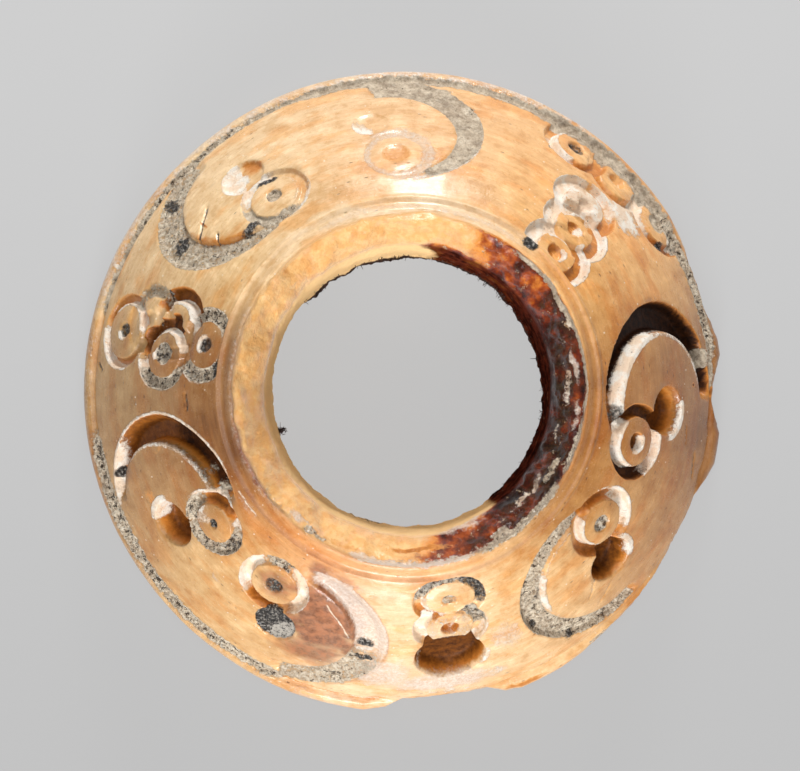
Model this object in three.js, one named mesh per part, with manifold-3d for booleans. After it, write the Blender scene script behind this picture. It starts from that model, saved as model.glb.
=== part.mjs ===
// Bone spindle whorl: one domed ring of bone with a wide central bore.
// A raised collar runs round the top of the bore, and the sloping flank carries
// three pairs of "petal" eyes (a cut crescent, a drilled ring and a drilled hole)
// with three clusters of drilled ring-and-dot marks between the pairs.
// Units are millimetres, +Z is up, and the origin is the middle of the flat base.
import * as THREE from 'three';
import { mergeVertices } from 'three/addons/utils/BufferGeometryUtils.js';
import Module from 'manifold-3d';

// ---- driving dimensions -------------------------------------------------------
const OUTER_R = 14.0;            // radius of the rim band at the base
const HEIGHT = 8.9;              // base to crest of the collar
const RIM_TOP_Z = 1.32;          // top of the short upright rim band
const RIM_GROOVE_Z = 1.46;       // incised line above the rim band
const RIM_GROOVE_DEPTH = 0.22;
const FLANK_FOOT = [13.56, 1.62];  // radius and height where the flank starts
const FLANK_HEAD = [8.62, 8.38];   // and where it meets the groove below the collar
const FLANK_BULGE = 0.42;        // how far the flank bows out from a straight cone
const COLLAR_GROOVE = [8.26, 8.42];
const COLLAR_CREST_R = 7.84;
const BORE_EDGE = [7.62, 8.78];  // upper edge of the funnel
const BORE_THROAT = [6.36, 6.95]; // lower edge of the funnel; the wall is steep below it
const BORE_WAIST_R = 5.97;       // narrowest radius, near the lower lip
const BORE_WAIST_Z = 1.3;
const BORE_FOOT_R = 6.35;        // flared lower lip at the base
const BORE_SHIFT_X = 0.24;       // the bore leans this far off the axis at its foot

const CRESCENT_R = 3.9;          // outer edge of a crescent cut
const PETAL_R = 3.07;            // petal-shaped disc left standing inside it
const CRESCENT_DEPTH = 0.75;
const RING_R = 1.64;             // drilled ring: outer radius
const ISLAND_R = 1.1;            // and the disc left standing inside it
const RING_DEPTH = 0.42;
const DOT_R = 0.42;              // centre dot left by the drill's point
const DOT_DEPTH = 0.4;
const HOLE_R = 1.05;             // plain drilled hole beside each ring
const HOLE_DEPTH = 0.95;
const PIT_R = 1.6;               // the one large pit, in the lower cluster
const PIT_DEPTH = 1.1;

const TURN_STEPS = 72;           // facets round the body
const FLANK_STEPS = 4;           // facets up the flank
const RING_STEPS = 10;
const CRESCENT_STEPS = 22;

const DEG = Math.PI / 180;

// ---- where the marks sit ------------------------------------------------------
// Each place is [angle in degrees clockwise from +Y seen from above, radius from
// the axis]. The petal pairs repeat every third of a turn and mirror each other.
const PETALS = [
  { crescent: [357.9, 11.63], petal: [355.7, 11.29], ring: [357.3, 10.32], hole: [352.6, 11.74], wear: 0.3 },
  { crescent: [90.9, 11.42], petal: [93.3, 11.36], ring: [102.9, 10.26], hole: [94.6, 11.51], wear: 1 },
  { crescent: [133.1, 11.51], petal: [131.4, 11.42], ring: [124.5, 10.29], hole: [129.7, 11.66], wear: 1 },
  { crescent: [204.5, 11.53], petal: [207.5, 11.48], ring: [214.4, 10.37], hole: [209.3, 11.76], wear: 0.7 },
  { crescent: [244.4, 11.43], petal: [243.1, 11.6], ring: [235.2, 10.27], hole: [240.1, 11.76], wear: 1 },
  { crescent: [317.6, 11.65], petal: [321.0, 11.57], ring: [325.4, 10.3], hole: [322.5, 11.76], wear: 0.7 },
];
const CLUSTERS = [
  { rings: [[35.5, 13.05], [45.6, 13.1], [56.6, 13.2], [44.1, 11.29], [46.1, 10.18], [47.0, 8.95]], pits: [] },
  { rings: [[169.8, 10.57], [169.2, 9.13]], pits: [[170.4, 11.82]] },
  { rings: [[282.1, 12.58], [285.9, 10.52], [278.4, 10.79], [282.3, 9.08]], pits: [] },
];
// Flakes lost from the rim: [start angle, end angle, depth lost], in degrees and mm.
const RIM_CHIPS = [
  [58, 79, 0.38], [86, 95.5, 0.6], [103, 149, 0.5], [161, 184, 0.55],
];

// ---- helpers ------------------------------------------------------------------
const wasm = await Module();
wasm.setup();

function toSolid(geometry) {
  const g = geometry.clone();
  g.deleteAttribute('normal');
  g.deleteAttribute('uv');
  const merged = mergeVertices(g, 1e-5);
  return new wasm.Manifold(new wasm.Mesh({
    numProp: 3,
    vertProperties: Float32Array.from(merged.attributes.position.array),
    triVerts: Uint32Array.from(merged.index.array),
  }));
}

function toGeometry(solid) {
  const m = solid.getMesh();
  const g = new THREE.BufferGeometry();
  const n = m.vertProperties.length / m.numProp;
  const xyz = new Float32Array(n * 3);
  for (let i = 0; i < n; i++) {
    for (let k = 0; k < 3; k++) xyz[i * 3 + k] = m.vertProperties[i * m.numProp + k];
  }
  g.setAttribute('position', new THREE.BufferAttribute(xyz, 3));
  g.setIndex(new THREE.BufferAttribute(Uint32Array.from(m.triVerts), 1));
  g.computeVertexNormals();
  return g;
}

// The flank's section is one circular arc from its foot to its head.
const flankArc = (() => {
  const [r0, z0] = FLANK_FOOT;
  const [r1, z1] = FLANK_HEAD;
  const chord = Math.hypot(r1 - r0, z1 - z0);
  const radius = (chord * chord / 4 + FLANK_BULGE ** 2) / (2 * FLANK_BULGE);
  const nr = (z1 - z0) / chord;
  const nz = -(r1 - r0) / chord;
  const cr = (r0 + r1) / 2 - nr * (radius - FLANK_BULGE);
  const cz = (z0 + z1) / 2 - nz * (radius - FLANK_BULGE);
  const a0 = Math.atan2(z0 - cz, r0 - cr);
  const a1 = Math.atan2(z1 - cz, r1 - cr);
  return { radius, cr, cz, a0, a1 };
})();

function flankPoint(t) {
  const a = flankArc.a0 + (flankArc.a1 - flankArc.a0) * t;
  return new THREE.Vector2(flankArc.cr + flankArc.radius * Math.cos(a),
    flankArc.cz + flankArc.radius * Math.sin(a));
}

// Place and outward direction of the flank at a given angle and radius.
function flankFrame(angle, radius) {
  const cosA = Math.min(1, (radius - flankArc.cr) / flankArc.radius);
  const a = Math.acos(cosA);
  const z = flankArc.cz + flankArc.radius * Math.sin(a);
  const out = new THREE.Vector3(Math.sin(angle * DEG), Math.cos(angle * DEG), 0);
  const normal = out.clone().multiplyScalar(Math.cos(a)).add(new THREE.Vector3(0, 0, Math.sin(a)));
  const origin = out.clone().multiplyScalar(radius).setZ(z);
  return { origin, normal };
}

function standOnFlank(solidGeometry, angle, radius) {
  const { origin, normal } = flankFrame(angle, radius);
  const q = new THREE.Quaternion().setFromUnitVectors(new THREE.Vector3(0, 0, 1), normal);
  const m = new THREE.Matrix4().compose(origin, q, new THREE.Vector3(1, 1, 1));
  return solidGeometry.clone().applyMatrix4(m);
}

// A lathe about Z: profile points are (radius, height).
function lathe(points, steps) {
  return new THREE.LatheGeometry(points, steps).rotateX(Math.PI / 2);
}

function drill(radius, depth, steps) {
  return lathe([
    new THREE.Vector2(0, -depth), new THREE.Vector2(radius * 0.94, -depth * 0.96),
    new THREE.Vector2(radius, 1.2), new THREE.Vector2(0, 1.2),
  ], steps);
}

function ringCutter(outer, inner, depth, steps) {
  return lathe([
    new THREE.Vector2(inner, -depth), new THREE.Vector2(outer, -depth),
    new THREE.Vector2(outer, 1.0), new THREE.Vector2(inner, 1.0),
    new THREE.Vector2(inner, -depth),
  ], steps);
}

// ---- the turned body ----------------------------------------------------------
function chipDepth(angleDeg) {
  let d = 0;
  for (const [a, b, depth] of RIM_CHIPS) {
    if (angleDeg > a && angleDeg < b) {
      const t = (angleDeg - a) / (b - a);
      d = Math.max(d, depth * Math.min(1, 4 * Math.min(t, 1 - t)));
    }
  }
  return d;
}

function bodyGeometry() {
  const p = [];
  p.push(new THREE.Vector2(BORE_FOOT_R, 0));
  p.push(new THREE.Vector2(OUTER_R - 0.22, 0));
  p.push(new THREE.Vector2(OUTER_R, 0.35));
  p.push(new THREE.Vector2(OUTER_R - 0.02, 0.95));
  p.push(new THREE.Vector2(OUTER_R - 0.26, RIM_TOP_Z));
  p.push(new THREE.Vector2(FLANK_FOOT[0] - RIM_GROOVE_DEPTH * 0.7, RIM_GROOVE_Z));
  for (let i = 0; i <= FLANK_STEPS; i++) p.push(flankPoint(i / FLANK_STEPS));
  p.push(new THREE.Vector2(COLLAR_GROOVE[0], COLLAR_GROOVE[1]));
  p.push(new THREE.Vector2(COLLAR_CREST_R + 0.22, HEIGHT - 0.18));
  p.push(new THREE.Vector2(COLLAR_CREST_R, HEIGHT));
  p.push(new THREE.Vector2(BORE_EDGE[0], BORE_EDGE[1]));
  p.push(new THREE.Vector2(BORE_THROAT[0], BORE_THROAT[1]));
  p.push(new THREE.Vector2(6.1, 4.0));
  p.push(new THREE.Vector2(BORE_WAIST_R, BORE_WAIST_Z));
  p.push(new THREE.Vector2(BORE_FOOT_R, 0));
  const g = lathe(p, TURN_STEPS);
  const pos = g.attributes.position;
  for (let i = 0; i < pos.count; i++) {
    let x = pos.getX(i);
    let y = pos.getY(i);
    const z = pos.getZ(i);
    const r = Math.hypot(x, y);
    const angle = (Math.atan2(x, y) / DEG + 360) % 360;
    if (r > 13 && z < 2) {                   // flakes lost along the rim
      const k = (r - chipDepth(angle)) / r;
      x *= k;
      y *= k;
    }
    if (r < BORE_EDGE[0] + 0.01) {           // the bore is drilled a little off square
      x += BORE_SHIFT_X * (1 - z / BORE_EDGE[1]);
    }
    pos.setXYZ(i, x, y, z);
  }
  return g;
}

// ---- carve --------------------------------------------------------------------
let body = toSolid(bodyGeometry());

for (const eye of PETALS) {
  const outer = toSolid(standOnFlank(drill(CRESCENT_R, CRESCENT_DEPTH * eye.wear, CRESCENT_STEPS),
    ...eye.crescent));
  const petal = toSolid(standOnFlank(lathe([
    new THREE.Vector2(0, -3), new THREE.Vector2(PETAL_R, -3),
    new THREE.Vector2(PETAL_R, 2.5), new THREE.Vector2(0, 2.5),
  ], CRESCENT_STEPS), ...eye.petal));
  body = body.subtract(outer.subtract(petal));
}
for (const eye of PETALS) {
  body = body.subtract(toSolid(standOnFlank(
    ringCutter(RING_R, ISLAND_R, RING_DEPTH * eye.wear, RING_STEPS), ...eye.ring)));
  body = body.subtract(toSolid(standOnFlank(drill(DOT_R, DOT_DEPTH * eye.wear, 4), ...eye.ring)));
  body = body.subtract(toSolid(standOnFlank(drill(HOLE_R, HOLE_DEPTH * eye.wear, 8), ...eye.hole)));
}
for (const cluster of CLUSTERS) {
  for (const place of cluster.rings) {
    body = body.subtract(toSolid(standOnFlank(
      ringCutter(RING_R, ISLAND_R, RING_DEPTH, RING_STEPS), ...place)));
    body = body.subtract(toSolid(standOnFlank(drill(DOT_R, DOT_DEPTH, 4), ...place)));
  }
  for (const place of cluster.pits) {
    body = body.subtract(toSolid(standOnFlank(drill(PIT_R, PIT_DEPTH, 12), ...place)));
  }
}
// Only the body is kept: slivers freed where cuts cross are dropped.
body = body.decompose().sort((a, b) => b.volume() - a.volume())[0];

// ---- the scene graph ----------------------------------------------------------
const bone = new THREE.MeshStandardMaterial({ color: 0xe2b57c, roughness: 0.42, metalness: 0 });
const whorl = new THREE.Mesh(toGeometry(body), bone);
whorl.name = 'bone_whorl';

const part = new THREE.Group();
part.add(whorl);
export default part;
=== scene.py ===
import math
import bpy
import numpy as np
from mathutils import Matrix, Vector


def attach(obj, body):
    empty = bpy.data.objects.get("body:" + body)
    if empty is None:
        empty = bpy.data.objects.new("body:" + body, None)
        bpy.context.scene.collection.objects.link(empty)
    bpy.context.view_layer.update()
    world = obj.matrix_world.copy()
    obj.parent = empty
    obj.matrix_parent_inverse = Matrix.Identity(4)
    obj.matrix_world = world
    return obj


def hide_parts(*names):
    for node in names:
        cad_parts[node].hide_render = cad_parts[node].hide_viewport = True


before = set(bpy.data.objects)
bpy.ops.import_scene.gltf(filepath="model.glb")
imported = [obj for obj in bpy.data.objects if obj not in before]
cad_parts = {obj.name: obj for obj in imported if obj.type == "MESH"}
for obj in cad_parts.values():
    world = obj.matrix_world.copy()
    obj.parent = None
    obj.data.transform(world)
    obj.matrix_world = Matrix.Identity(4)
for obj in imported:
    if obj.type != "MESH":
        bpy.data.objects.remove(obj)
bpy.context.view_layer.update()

MM = 0.001
TAU = 2 * math.pi
DEG = math.pi / 180


# =============================================================================
# Small numeric helpers
# =============================================================================
def smooth(a, b, x):
    t = np.clip((x - a) / (b - a), 0.0, 1.0)
    return t * t * (3 - 2 * t)


def _hash(ix, iy, iz, seed):
    h = (ix.astype(np.uint32) * np.uint32(374761393)
         + iy.astype(np.uint32) * np.uint32(668265263)
         + iz.astype(np.uint32) * np.uint32(2246822519)
         + np.uint32((seed * 3266489917 + 1013904223) & 0xFFFFFFFF))
    h = (h ^ (h >> np.uint32(15))) * np.uint32(2246822519)
    h = (h ^ (h >> np.uint32(13))) * np.uint32(3266489917)
    h = h ^ (h >> np.uint32(16))
    return h.astype(np.float64) * (1.0 / 4294967295.0)


def vnoise(p, scale, seed=0):
    """Smooth value noise in -1..1 at the points p (N,3); scale is cells per mm."""
    q = p * scale + 100.0 + seed * 7.31
    i = np.floor(q).astype(np.int64)
    f = q - i
    u = f * f * f * (f * (f * 6 - 15) + 10)
    x0, y0, z0 = i[:, 0], i[:, 1], i[:, 2]
    out = 0.0
    for dx in (0, 1):
        wx = u[:, 0] if dx else 1 - u[:, 0]
        for dy in (0, 1):
            wy = u[:, 1] if dy else 1 - u[:, 1]
            for dz in (0, 1):
                wz = u[:, 2] if dz else 1 - u[:, 2]
                out = out + wx * wy * wz * _hash(x0 + dx, y0 + dy, z0 + dz, seed)
    return out * 2 - 1


def fbm(p, scale, octaves=3, seed=0, gain=0.5):
    out, amp, tot = 0.0, 1.0, 0.0
    for k in range(octaves):
        out = out + amp * vnoise(p, scale * 2 ** k, seed + 17 * k)
        tot += amp
        amp *= gain
    return out / tot


def angdiff(a, b):
    """Signed difference a-b in degrees, -180..180."""
    return (a - b + 180.0) % 360.0 - 180.0


def arc(a, a0, a1, soft=8.0):
    """1 inside the clockwise arc a0..a1 (degrees), soft ends."""
    mid = a0 + ((a1 - a0) % 360.0) / 2
    half = ((a1 - a0) % 360.0) / 2
    return 1 - smooth(half - soft, half + soft, np.abs(angdiff(a, mid)))


# =============================================================================
# The turned section: (radius, height) in mm, the same sizes as the CAD solid
# =============================================================================
HEIGHT = 8.9
FLANK_FOOT = np.array([13.56, 1.62])
FLANK_HEAD = np.array([8.62, 8.38])
FLANK_BULGE = 0.42
BORE_SHIFT_X = 0.24


def flank_arc():
    d = FLANK_HEAD - FLANK_FOOT
    chord = np.hypot(*d)
    radius = (chord ** 2 / 4 + FLANK_BULGE ** 2) / (2 * FLANK_BULGE)
    nrm = np.array([d[1], -d[0]]) / chord
    c = (FLANK_FOOT + FLANK_HEAD) / 2 - nrm * (radius - FLANK_BULGE)
    a0 = math.atan2(FLANK_FOOT[1] - c[1], FLANK_FOOT[0] - c[0])
    a1 = math.atan2(FLANK_HEAD[1] - c[1], FLANK_HEAD[0] - c[0])
    return c, radius, a0, a1


ARC_C, ARC_R, ARC_A0, ARC_A1 = flank_arc()


def chaikin(pts, rounds):
    pts = np.asarray(pts, float)
    for _ in range(rounds):
        q = np.empty((2 * len(pts) - 2, 2))
        q[0::2] = 0.75 * pts[:-1] + 0.25 * pts[1:]
        q[1::2] = 0.25 * pts[:-1] + 0.75 * pts[1:]
        pts = np.vstack([pts[:1], q, pts[-1:]])
    return pts


def build_profile():
    base_rim = chaikin([(6.6, 0.0), (10.0, 0.0), (13.62, 0.0), (13.88, 0.06), (14.0, 0.32), (14.02, 0.85),
                        (13.95, 1.16), (13.78, 1.36), (13.66, 1.42), (13.60, 1.52), FLANK_FOOT], 2)
    a = np.linspace(ARC_A0, ARC_A1, 240)
    flank = np.c_[ARC_C[0] + ARC_R * np.cos(a), ARC_C[1] + ARC_R * np.sin(a)]
    collar = chaikin([FLANK_HEAD, (8.45, 8.505), (8.34, 8.50), (8.25, 8.455), (8.16, 8.47), (8.06, 8.60),
                      (7.95, 8.76), (7.82, 8.87), (7.72, 8.885), (7.62, 8.82), (7.50, 8.64), (7.34, 8.40)], 2)
    bore = chaikin([(7.34, 8.40), (7.05, 8.00), (6.70, 7.46), (6.42, 6.95), (6.27, 6.3), (6.17, 5.2), (6.10, 3.9),
                    (6.03, 2.6), (5.98, 1.7), (5.97, 1.1), (6.02, 0.6), (6.2, 0.22), (6.4, 0.04), (6.6, 0.0)], 2)
    pts = np.vstack([base_rim[:-1], flank[:-1], collar[:-1], bore])
    s = np.r_[0, np.cumsum(np.hypot(*np.diff(pts, axis=0).T))]
    s_foot = s[len(base_rim) - 1]
    s_head = s[len(base_rim) - 1 + len(flank) - 1]
    s_bevel = s[len(base_rim) - 1 + len(flank) - 1 + len(collar) - 1]
    return pts, s, s_foot, s_head, s_bevel


PROF, PROF_S, S_FOOT, S_HEAD, S_BEVEL = build_profile()
S_LEN = PROF_S[-1]
S_RIM = float(PROF_S[np.argmin(np.abs(PROF - np.array([13.62, 0.0])).sum(1))])
S_CREST = float(np.interp(8.885, PROF[(PROF_S > S_HEAD) & (PROF_S < S_BEVEL)][:8, 1],
                          PROF_S[(PROF_S > S_HEAD) & (PROF_S < S_BEVEL)][:8]))
S_CREST = float(PROF_S[np.argmax(PROF[:, 1])])


def profile_at(s):
    r = np.interp(s, PROF_S, PROF[:, 0])
    z = np.interp(s, PROF_S, PROF[:, 1])
    e = 0.03
    tr = np.interp(s + e, PROF_S, PROF[:, 0]) - np.interp(s - e, PROF_S, PROF[:, 0])
    tz = np.interp(s + e, PROF_S, PROF[:, 1]) - np.interp(s - e, PROF_S, PROF[:, 1])
    n = np.hypot(tr, tz) + 1e-12
    return r, z, tz / n, -tr / n


def base_points(s, th):
    """Plain turned surface: positions and outward normals for arc length s and angle th (radians)."""
    r, z, nr, nz = profile_at(s)
    sn, cs = np.sin(th), np.cos(th)
    shift = BORE_SHIFT_X * np.clip(1 - z / 8.72, 0, 1) * smooth(S_CREST, S_BEVEL + 0.3, s)
    shift = np.where(s < 1.2, BORE_SHIFT_X * (1 - smooth(0.2, 1.2, s)), shift)
    P = np.c_[r * sn + shift, r * cs, z]
    N = np.c_[nr * sn, nr * cs, nz]
    return P, N


# =============================================================================
# The carver's marks. Places are (clock angle seen from above with +Y up, radius)
# =============================================================================
CRES_R, PETAL_R, RING_R, ISLAND_R, DOT_R, HOLE_R = 3.90, 3.07, 1.66, 1.09, 0.42, 1.05


def flank_place(angle, radius):
    a = math.acos(min(1.0, (radius - ARC_C[0]) / ARC_R))
    z = ARC_C[1] + ARC_R * math.sin(a)
    sn, cs = math.sin(angle * DEG), math.cos(angle * DEG)
    return (np.array([radius * sn, radius * cs, z]),
            np.array([math.cos(a) * sn, math.cos(a) * cs, math.sin(a)]))


# name: crescent place/R, petal place/R, depth, wall softness
CRESCENTS = {
    "A": dict(outer=(357.9, 11.63, 3.81), inner=(355.7, 11.29, 2.97), depth=0.22, so=0.20, si=0.25, span=(326, 152)),
    "C": dict(outer=(90.9, 11.42, 4.02), inner=(93.3, 11.36, 3.15), depth=0.92, so=0.10, si=0.42, span=(225, 88)),
    "D": dict(outer=(133.1, 11.51, 3.94), inner=(131.4, 11.42, 3.11), depth=0.62, so=0.14, si=0.24, span=(118, 340)),
    "F": dict(outer=(204.5, 11.53, 3.94), inner=(207.5, 11.48, 3.06), depth=0.42, so=0.50, si=0.14, span=(15, 205)),
    "G": dict(outer=(244.4, 11.43, 3.89), inner=(243.1, 11.60, 3.06), depth=0.95, so=0.34, si=0.14, span=(283, 84)),
    "I": dict(outer=(317.6, 11.65, 3.89), inner=(321.0, 11.57, 3.06), depth=0.36, so=0.24, si=0.10, span=(100, 318)),
}
# name: (angle, radius, ring R, island R, ring depth, dot R, dot depth, dot offset (x, y))
RINGS = {
    "A1": (357.3, 10.32, 1.62, 1.28, 0.10, 0.62, 0.07, (0.0, 0.0)),
    "B1": (35.5, 13.12, 1.64, 1.05, 0.40, 0.42, 0.40, (0.0, 0.0)),
    "B3": (45.6, 13.17, 1.64, 1.05, 0.40, 0.40, 0.30, (0.0, 0.0)),
    "B2": (56.6, 13.35, 1.64, 1.05, 0.40, 0.45, 0.30, (0.0, 0.0)),
    "B4": (44.1, 11.29, 1.66, 1.00, 0.38, 0.36, 0.26, (0.0, 0.0)),
    "B5": (46.1, 10.18, 1.66, 0.94, 0.36, 0.42, 0.30, (0.0, 0.0)),
    "B6": (47.0, 8.87, 1.66, 0.96, 0.36, 0.42, 0.30, (0.0, 0.0)),
    "C1": (102.9, 10.26, 1.66, 1.10, 0.56, 0.42, 0.42, (0.0, 0.0)),
    "D1": (124.5, 10.29, 1.66, 1.09, 0.50, 0.40, 0.34, (0.0, 0.0)),
    "E2": (169.8, 10.57, 1.64, 1.02, 0.44, 0.40, 0.36, (0.0, 0.0)),
    "E1": (169.0, 9.36, 1.62, 1.12, 0.34, 0.35, 0.20, (0.0, 0.0)),
    "F1": (214.4, 10.37, 1.66, 1.09, 0.46, 0.40, 0.34, (0.0, 0.0)),
    "G1": (235.4, 10.30, 1.56, 0.96, 0.50, 0.24, 0.30, (0.0, 0.0)),
    "H1": (282.1, 12.58, 1.66, 1.24, 0.42, 0.34, 0.30, (0.0, 0.0)),
    "H3": (285.9, 10.52, 1.64, 1.02, 0.50, 0.46, 0.40, (0.0, 0.0)),
    "H4": (285.5, 11.63, 1.58, 0.95, 0.34, 0.40, 0.20, (0.0, 0.0)),
    "H2": (278.4, 10.79, 1.60, 1.05, 0.48, 0.50, 0.40, (0.0, 0.0)),
    "H5": (282.3, 9.12, 1.66, 1.03, 0.44, 0.36, 0.34, (0.0, 0.0)),
    "I1": (325.4, 10.30, 1.60, 1.12, 0.26, 0.36, 0.22, (0.0, 0.0)),
}
BROKEN_ISLANDS = {"B4", "B3", "H3", "H4"}
ISLAND_DROP = {"B5": 0.12, "B6": 0.10, "H5": 0.05, "H2": 0.10, "G1": 0.14, "F1": 0.10}
# name: (angle, radius, R, depth)
HOLES = {
    "Ah": (352.6, 11.74, 0.80, 0.10),
    "Ch": (94.6, 11.51, 1.08, 1.15),
    "Dh": (129.7, 11.66, 1.06, 1.15),
    "Ep": (170.6, 11.86, 1.56, 1.05),
    "Fh": (209.3, 11.76, 0.98, 0.42),
    "Gh": (240.1, 11.76, 1.06, 1.10),
    "Ih": (322.5, 11.76, 1.04, 0.22),
}
# the island of one ring is cut away where a later ring crosses it
# the tool leaned outwards at some rings (degrees)
LEAN = {"E1": 4, "E2": 6, "B5": 5, "B6": 5, "F1": 5, "H2": 4}
# rings that come out flatter up and down the slope than across it
SQUASH = {"E1": 1.24, "E2": 1.08, "B5": 1.06, "B6": 1.06, "H5": 1.16, "G1": 1.05}


def mark_place(name, angle, radius):
    C, A = flank_place(angle, radius)
    k = LEAN.get(name, 0) * DEG
    tan = np.array([math.cos(angle * DEG), -math.sin(angle * DEG), 0.0])
    down = np.cross(A, tan) * -1
    down = down if down[2] < 0 else -down
    return C, A * math.cos(k) + down * math.sin(k)


PLACES = {k: mark_place(k, v[0], v[1]) for k, v in list(RINGS.items()) + list(HOLES.items())}

# Flakes lost from the rim and small swellings of it: clock angle -> change of radius (mm)
RIM_EDGE = [(0, .10), (20, .11), (40, .12), (57, .12), (62, .02), (66, -.20), (74, -.22), (78, -.03), (80.5, .12),
            (83.5, .13), (86, -.12), (88.5, -.30), (92, -.40), (95, -.16), (97.5, .12), (103, .14), (106, -.06),
            (110, -.36), (120, -.42), (125, -.30), (132, -.22), (140, -.16), (146, .0), (150, .06), (158, .10),
            (161, -.10), (164, -.46), (172, -.54), (180, -.50), (183, -.10), (187, .14), (200, .16), (215, .08),
            (235, .02), (260, .0), (290, .0), (320, .02), (345, .06), (360, .10)]


def rim_edge(deg):
    a, d = np.array(RIM_EDGE).T
    return np.interp(deg % 360, a, d)


class Field:
    """Relief and surface masks at the points (s, th)."""

    def __init__(self, s, th):
        self.s, self.th = s, th
        self.deg = (th / DEG) % 360
        self.P, self.N = base_points(s, th)
        n = len(s)
        self.cut = np.zeros(n)       # depth of carving below the plain surface
        self.fill = np.zeros(n)      # part of that depth filled again by soil
        self.soil = np.zeros(n)
        self.black = np.zeros(n)
        # pale cut faces and wear, and painted light on the walls that face the lights
        self.white = np.zeros(n)
        # painted shade in cuts and holes, and a few orange stains
        self.cut_shade_and_stain = np.zeros(n)
        # painted glints on black deposit
        self.silver_glint = np.zeros(n)
        self.maho = np.zeros(n)
        # dust, and painted sheen: a pale wash over the bone below ring E
        self.dust_and_sheen = np.zeros(n)
        # browner ground: partly stain and streaks, partly painted shade on the left and right flanks
        self.shade = np.zeros(n)
        self.outer = smooth(S_RIM - 0.2, S_RIM + 0.2, s) * (1 - smooth(S_CREST - 0.1, S_CREST + 0.1, s))
        self.wob = fbm(self.P, 1.1, 2, 3) * 0.035 + vnoise(self.P, 5.0, 5) * 0.012
        self.lim = smooth(S_FOOT - 0.48, S_FOOT - 0.10, s) * (1 - smooth(S_HEAD + 0.08, S_HEAD + 0.30, s))

    def local(self, C, A, reach, flat=1.0):
        d2 = ((self.P - C) ** 2).sum(1)
        i = np.nonzero((d2 < reach * reach) & (self.outer > 0.001))[0]
        d = self.P[i] - C
        ax = d @ A
        rad = d - ax[:, None] * A
        if flat != 1.0:
            tan = np.array([C[1], -C[0], 0.0]) / math.hypot(C[0], C[1])
            down = np.cross(A, tan)
            rad = rad + ((flat - 1) * (rad @ down))[:, None] * down
        dist = np.sqrt((rad ** 2).sum(1)) + self.wob[i]
        clock = np.degrees(np.arctan2(d[:, 0], d[:, 1])) % 360
        lean = np.clip(self.N[i] @ A, 0.35, 1)
        return i, ax, dist, clock, lean

    def dig(self, i, ax, lean, depth, w):
        t = np.clip((ax + depth) / lean, 0, None) * w * self.outer[i]
        self.cut[i] = np.maximum(self.cut[i], t)

    def hole(self, k):
        a, r, R, dep = HOLES[k]
        C, A = PLACES[k]
        i, ax, dist, clock, lean = self.local(C, A, R + 0.8)
        w = 1 - smooth(R - 0.14, R + 0.05, dist)
        bowl = dep * (0.78 + 0.22 * np.sqrt(np.clip(1 - (dist / R) ** 2, 0, 1)))
        t = (0.55 * np.clip((ax + bowl) / lean, 0, None) + 0.45 * bowl) * w * self.outer[i]
        self.cut[i] = np.maximum(self.cut[i], t)

    def carve(self):
        # crescents first, because rings and holes were drilled into them
        for k, c in CRESCENTS.items():
            Co, Ao = flank_place(c["outer"][0], c["outer"][1])
            Ci, Ai = flank_place(c["inner"][0], c["inner"][1])
            i, ax, dist, clock, lean = self.local(Co, Ao, 4.9)
            d = self.P[i] - Ci
            di = d - (d @ Ai)[:, None] * Ai
            din = np.sqrt((di ** 2).sum(1)) + self.wob[i]
            w = (1 - smooth(c["outer"][2] - c["so"], c["outer"][2] + 0.04, dist)) * smooth(
                c["inner"][2] - 0.04, c["inner"][2] + c["si"], din)
            w *= arc(clock, c["span"][0], c["span"][1], 12)
            # the tool rides out towards the rim and deepest at the widest part of the moon
            gap = (din - c["inner"][2]) + (c["outer"][2] - dist)
            dep = c["depth"] * smooth(0.0, 0.75, gap)
            t = (0.30 * np.clip((ax + dep) / lean, 0, None) + 0.70 * dep) * w
            t *= self.outer[i] * smooth(S_FOOT - 0.25, S_FOOT + 0.1, self.s[i])
            self.cut[i] = np.maximum(self.cut[i], t)
        for k in ("Ep",):
            self.hole(k)
        for k, (a, r, R, Ri, dep, dr, dd, off) in RINGS.items():
            C, A = PLACES[k]
            i, ax, dist, clock, lean = self.local(C, A, R + 0.7, SQUASH.get(k, 1.0))
            w = smooth(Ri - 0.02, Ri + 0.09, dist) * (1 - smooth(R - 0.09, R + 0.02, dist))
            self.dig(i, ax, lean, dep, w)
        for k, (a, r, R, Ri, dep, dr, dd, off) in RINGS.items():
            C, A = PLACES[k]
            i, ax, dist, clock, lean = self.local(C, A, R + 0.7, SQUASH.get(k, 1.0))
            if k not in BROKEN_ISLANDS:
                keep = 1 - smooth(Ri - 0.10, Ri + 0.03, dist)
                drop = ISLAND_DROP.get(k, 0.06)
                low = np.minimum(self.cut[i], drop + 0.12 * self.cut[i])
                self.cut[i] = self.cut[i] * (1 - keep) + low * keep
            # the island's top is turned slightly down at its edge
            isl = (1 - smooth(Ri - 0.02, Ri + 0.05, dist)) * smooth(Ri * 0.62, Ri, dist)
            self.cut[i] = np.maximum(self.cut[i], 0.05 * isl)
            dw = 1 - smooth(dr - 0.12, dr + 0.05, dist)
            self.dig(i, ax, lean, dd, dw)
        for k in HOLES:
            if k != "Ep":
                self.hole(k)
        self.cut *= self.lim
        # incised line round the rim
        sg = S_FOOT - 0.10
        g = np.exp(-((self.s - sg - 0.04 * np.sin(self.th * 5)) / 0.13) ** 2)
        have = 1 - 0.85 * np.maximum(arc(self.deg, 106, 147, 3), arc(self.deg, 160, 184, 3))
        depth = 0.20 + 0.06 * fbm(self.P, 0.6, 2, 31)
        self.cut = np.maximum(self.cut, depth * g * have)
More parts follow.
